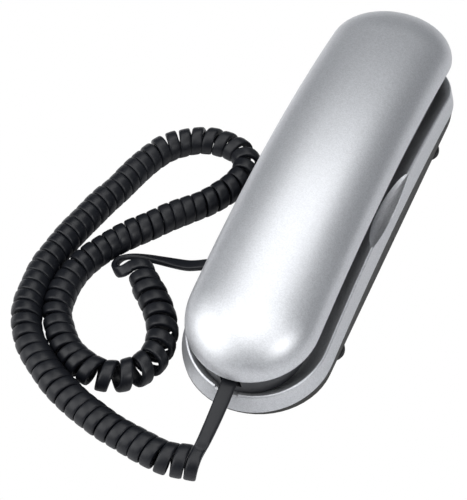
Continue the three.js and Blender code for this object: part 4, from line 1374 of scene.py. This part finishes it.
class PHONE_OT_handset_inner(bpy.types.Operator):
    """Makes the pieces inside the handset: mat, board, receiver, microphone and weight"""
    bl_idname = "phone.handset_inner"
    bl_label = "Handset inner pieces"

    def execute(self, context):
        mat = [sized_block("keypad_mat", MATERIALS["rubber"], 1.5, 0.3)]
        dome = [(2.6, 27.75), (2.3, DOME_TOP + 0.12), (1.6, DOME_TOP + 0.03), (0.0, DOME_TOP)]
        mat += [turned("dome", x, y, dome, MATERIALS["rubber"], 24) for x, y, _ in key_places()]
        settle(join_pieces("keypad_membrane", mat), "handset", ("keypad_mat",))
        steel, dark = MATERIALS["steel"], MATERIALS["charcoal_plastic"]
        board = [soft_block("board", -20, 20, -44, 44, 29.2, 30.8, MATERIALS["board"], 1.2, 0.1),
                 soft_block("chip", -7, 7, -8, 8, 30.7, 33.0, dark, 0.3, 0.2),
                 soft_block("buzzer", 8, 14, 18, 24, 30.7, 35.8, dark, 0.4, 0.3),
                 soft_post("can", -11, 24, 3, 30.7, 36.8, steel, 0.4, 32),
                 soft_post("can", -11, -26, 3, 30.7, 36.8, steel, 0.4, 32)]
        board += [soft_block("leg", x, x + 0.45, -8.9, 8.9, 30.75, 31.1, steel, 0.1, 0.05)
                  for x in (-6, -4, -2, 0, 2, 4, 5.5)]
        settle(join_pieces("handset_board", board), "handset", ("handset_circuit_board",))
        profile = [(11, 2.6), (11.2, 2.5), (15, 2.5), (15.2, 2.7), (15.2, 3.5), (15, 3.7), (11.2, 3.7),
                   (11, 3.5), (11, 2.6)]
        gasket = turned("gasket", 0, 0, profile, MATERIALS["rubber"], 64)
        settle(tilted_to_face(gasket, RECEIVER_Y), "handset", ("receiver_gasket",))
        profile = [(0, 4), (4, 4), (4.3, 4.3), (10, 4.3), (10.3, 4), (14.5, 4), (15.2, 4.5), (16, 5.5),
                   (16, 8.7), (15.7, 9), (10, 9), (9.6, 10), (9, 12), (0, 12)]
        receiver = turned("receiver", 0, 0, profile, steel, 64)
        settle(tilted_to_face(receiver, RECEIVER_Y), "handset", ("receiver_capsule",))
        profile = [(1.5, 2.6), (1.7, 2.5), (6.2, 2.5), (6.5, 2.8), (6.5, 9.2), (6.2, 9.5), (5.4, 9.5),
                   (5.2, 9.3), (5.2, 3.6), (1.5, 3.6), (1.5, 2.6)]
        boot = turned("boot", 0, 0, profile, MATERIALS["rubber"], 48)
        settle(tilted_to_face(boot, MICROPHONE_Y), "handset", ("microphone_boot",))
        profile = [(0, 3.9), (4.5, 3.9), (4.85, 4.2), (4.85, 10.0), (4.5, 10.3), (0, 10.3)]
        capsule = turned("capsule", 0, 0, profile, steel)
        settle(tilted_to_face(capsule, MICROPHONE_Y), "handset", ("microphone_capsule",))
        settle(sized_block("handset_weight", steel, 1.2, 0.5), "handset", ("handset_weight",))
        return {"FINISHED"}


class PHONE_OT_base_inner(bpy.types.Operator):
    """Makes the pieces inside the base: board, hook switch, ringer, ringer switch, weight and hanger tab"""
    bl_idname = "phone.base_inner"
    bl_label = "Base inner pieces"

    def execute(self, context):
        steel, dark = MATERIALS["steel"], MATERIALS["charcoal_plastic"]
        board = [soft_block("board", -11.5, 24, -31, 32, 8.2, 9.8, MATERIALS["board"], 1.2, 0.1),
                 soft_block("chip", -6, 6, -20, -2, 9.7, 12.4, dark, 0.3, 0.2),
                 soft_block("coil", 10, 17, -24, -16, 9.7, 13.6, dark, 0.6, 0.3),
                 soft_post("can", 14, 2, 3, 9.7, 14.4, steel, 0.4, 32),
                 soft_post("can", 4, 20, 3, 9.7, 14.0, steel, 0.4, 32)]
        settle(join_pieces("base_board", board), "base", ("base_circuit_board",))
        _, _, low, high = span("hook_plunger")
        button = stacked("button", 0, 42, [(2.95, 2.95, 0.5, low + 0.4), (3.0, 3.0, 0.6, low + 1.2),
                                           (3.0, 3.0, 0.8, high - 1.0), (2.85, 2.85, 1.0, high - 0.35),
                                           (2.4, 2.4, 1.2, high - 0.05), (0.3, 0.3, 0.2, high)],
                         dark, steps=6)
        flange = soft_post("flange", 0, 42, 5.0, low, low + 1.2, dark, 0.2)
        button = join_pieces("hook_button", [button, flange])
        settle(button, "hook_plunger", ("hook_plunger",))
        self.spring()
        switch = [sized_block("hook_switch", dark, 0.4, 0.2),
                  soft_block("stem", 9.5, 11, 41, 43, 10.2, 10.65, steel, 0.3, 0.1)]
        settle(join_pieces("hook_micro_switch", switch), "base", ("hook_switch",))
        lever = sized_block("hook_switch_lever", steel, 0.8, 0.12)
        settle(lever, "hook_switch_lever", ("hook_switch_lever",))
        profile = [(0, 5.6), (2.0, 5.6), (2.0, 5.0), (12.6, 5.0), (13, 5.3), (13, 7.1), (12.6, 7.6),
                   (10.4, 9.0), (10, 9.2), (0, 9.2)]
        ringer = turned("sounder", 0, RINGER_Y, profile, dark, 64)
        settle(ringer, "base", ("ringer",))
        housing = sized_block("ringer_switch", steel, 0.4, 0.2)
        carve(housing, [soft_block("window", -28, -24.5, 5.8, 14.2, 6.8, 10.4, None, 0.2, 0.1)])
        settle(housing, "base", ("ringer_switch",))
        knob = sized_block("ringer_switch_knob", MATERIALS["rubber"], 0.5, 0.3)
        grooves = [soft_block("groove", -31, -29.05, 10 + y - 0.18, 10 + y + 0.18, 6, 12, None, 0.1, 0.05)
                   for y in (-1.0, -0.35, 0.35, 1.0)]
        carve(knob, [join_pieces("grooves", grooves)])
        settle(knob, "ringer_switch_knob", ("ringer_switch_knob",))
        settle(sized_block("base_weight", steel, 1.0, 0.4), "base", ("base_weight",))
        tab = [soft_block("tab", -5, 5, 82.9, 85.1, 5.6, 13.4, dark, 0.7, 0.6),
               soft_block("tab_foot", -7, 7, 81.6, 86.4, 5.0, 6.4, dark, 0.8, 0.3)]
        settle(join_pieces("hanger_tab", tab), "base", ("handset_hanger_tab",))
        return {"FINISHED"}

    @staticmethod
    def spring():
        """A coiled wire spring with closed ends under the hook button."""
        points = []
        sides, steps = 8, 150
        for i in range(steps + 1):
            t = i / steps
            climb = 0.06 * min(t / 0.15, 1.0) + 0.88 * min(max((t - 0.15) / 0.7, 0.0), 1.0) \
                + 0.06 * max((t - 0.85) / 0.15, 0.0)
            a = 2 * math.pi * 5.5 * t
            centre = Vector((2.7 * math.cos(a), 42 + 2.7 * math.sin(a), 5.2 + 5.6 * climb))
            out = Vector((math.cos(a), math.sin(a), 0))
            for k in range(sides):
                b = 2 * math.pi * k / sides
                points.append(centre + out * 0.3 * math.cos(b) + Vector((0, 0, 0.3 * math.sin(b))))
        faces = ring_faces(0, sides, steps + 1)
        faces += [tuple(range(sides)), tuple(reversed(range(len(points) - sides, len(points))))]
        wire_piece = mesh_piece("hook_return_spring", points, faces, MATERIALS["steel"], math.radians(60))
        settle(wire_piece, "base", ("hook_spring",))


# ------------------------------------------------------------------ panel and registration
OPERATORS = (
    PHONE_OT_stage,
    PHONE_OT_cord,
    PHONE_OT_handset_back,
    PHONE_OT_handset_front,
    PHONE_OT_keypad,
    PHONE_OT_base_top,
    PHONE_OT_base_cover,
    PHONE_OT_feet,
    PHONE_OT_screws,
    PHONE_OT_sockets,
    PHONE_OT_handset_inner,
    PHONE_OT_base_inner,
)


class PHONE_PT_builder(bpy.types.Panel):
    """Lists the phone's building steps"""
    bl_idname = "PHONE_PT_builder"
    bl_label = "Corded Phone"
    bl_space_type = "VIEW_3D"
    bl_region_type = "UI"
    bl_category = "Corded Phone"

    def draw(self, context):
        layout = self.layout
        finish = context.scene.phone_finish
        cord = context.scene.phone_cord
        for name in ("silver", "charcoal", "cover", "cord", "keys"):
            layout.prop(finish, name)
        for name in ("width", "thickness", "pitch", "steps"):
            layout.prop(cord, name)
        for operator in OPERATORS:
            layout.operator(operator.bl_idname, text=operator.bl_label)


CLASSES = (PhoneFinish, PhoneCord, *OPERATORS, PHONE_PT_builder)


def register():
    """Adds the classes and the settings to Blender."""
    for item in CLASSES:
        bpy.utils.register_class(item)
    bpy.types.Scene.phone_finish = PointerProperty(type=PhoneFinish)
    bpy.types.Scene.phone_cord = PointerProperty(type=PhoneCord)


def unregister():
    """Takes the settings and the classes out again."""
    del bpy.types.Scene.phone_cord
    del bpy.types.Scene.phone_finish
    for item in reversed(CLASSES):
        bpy.utils.unregister_class(item)


def main():
    """Builds the whole phone."""
    register()
    make_materials()
    bpy.ops.phone.stage()
    bpy.ops.phone.cord()
    bpy.ops.phone.handset_back()
    bpy.ops.phone.handset_front()
    bpy.ops.phone.keypad()
    bpy.ops.phone.base_top()
    bpy.ops.phone.base_cover()
    bpy.ops.phone.feet()
    bpy.ops.phone.screws()
    bpy.ops.phone.sockets()
    bpy.ops.phone.handset_inner()
    bpy.ops.phone.base_inner()
    bpy.context.view_layer.update()


if __name__ == "__main__":
    main()
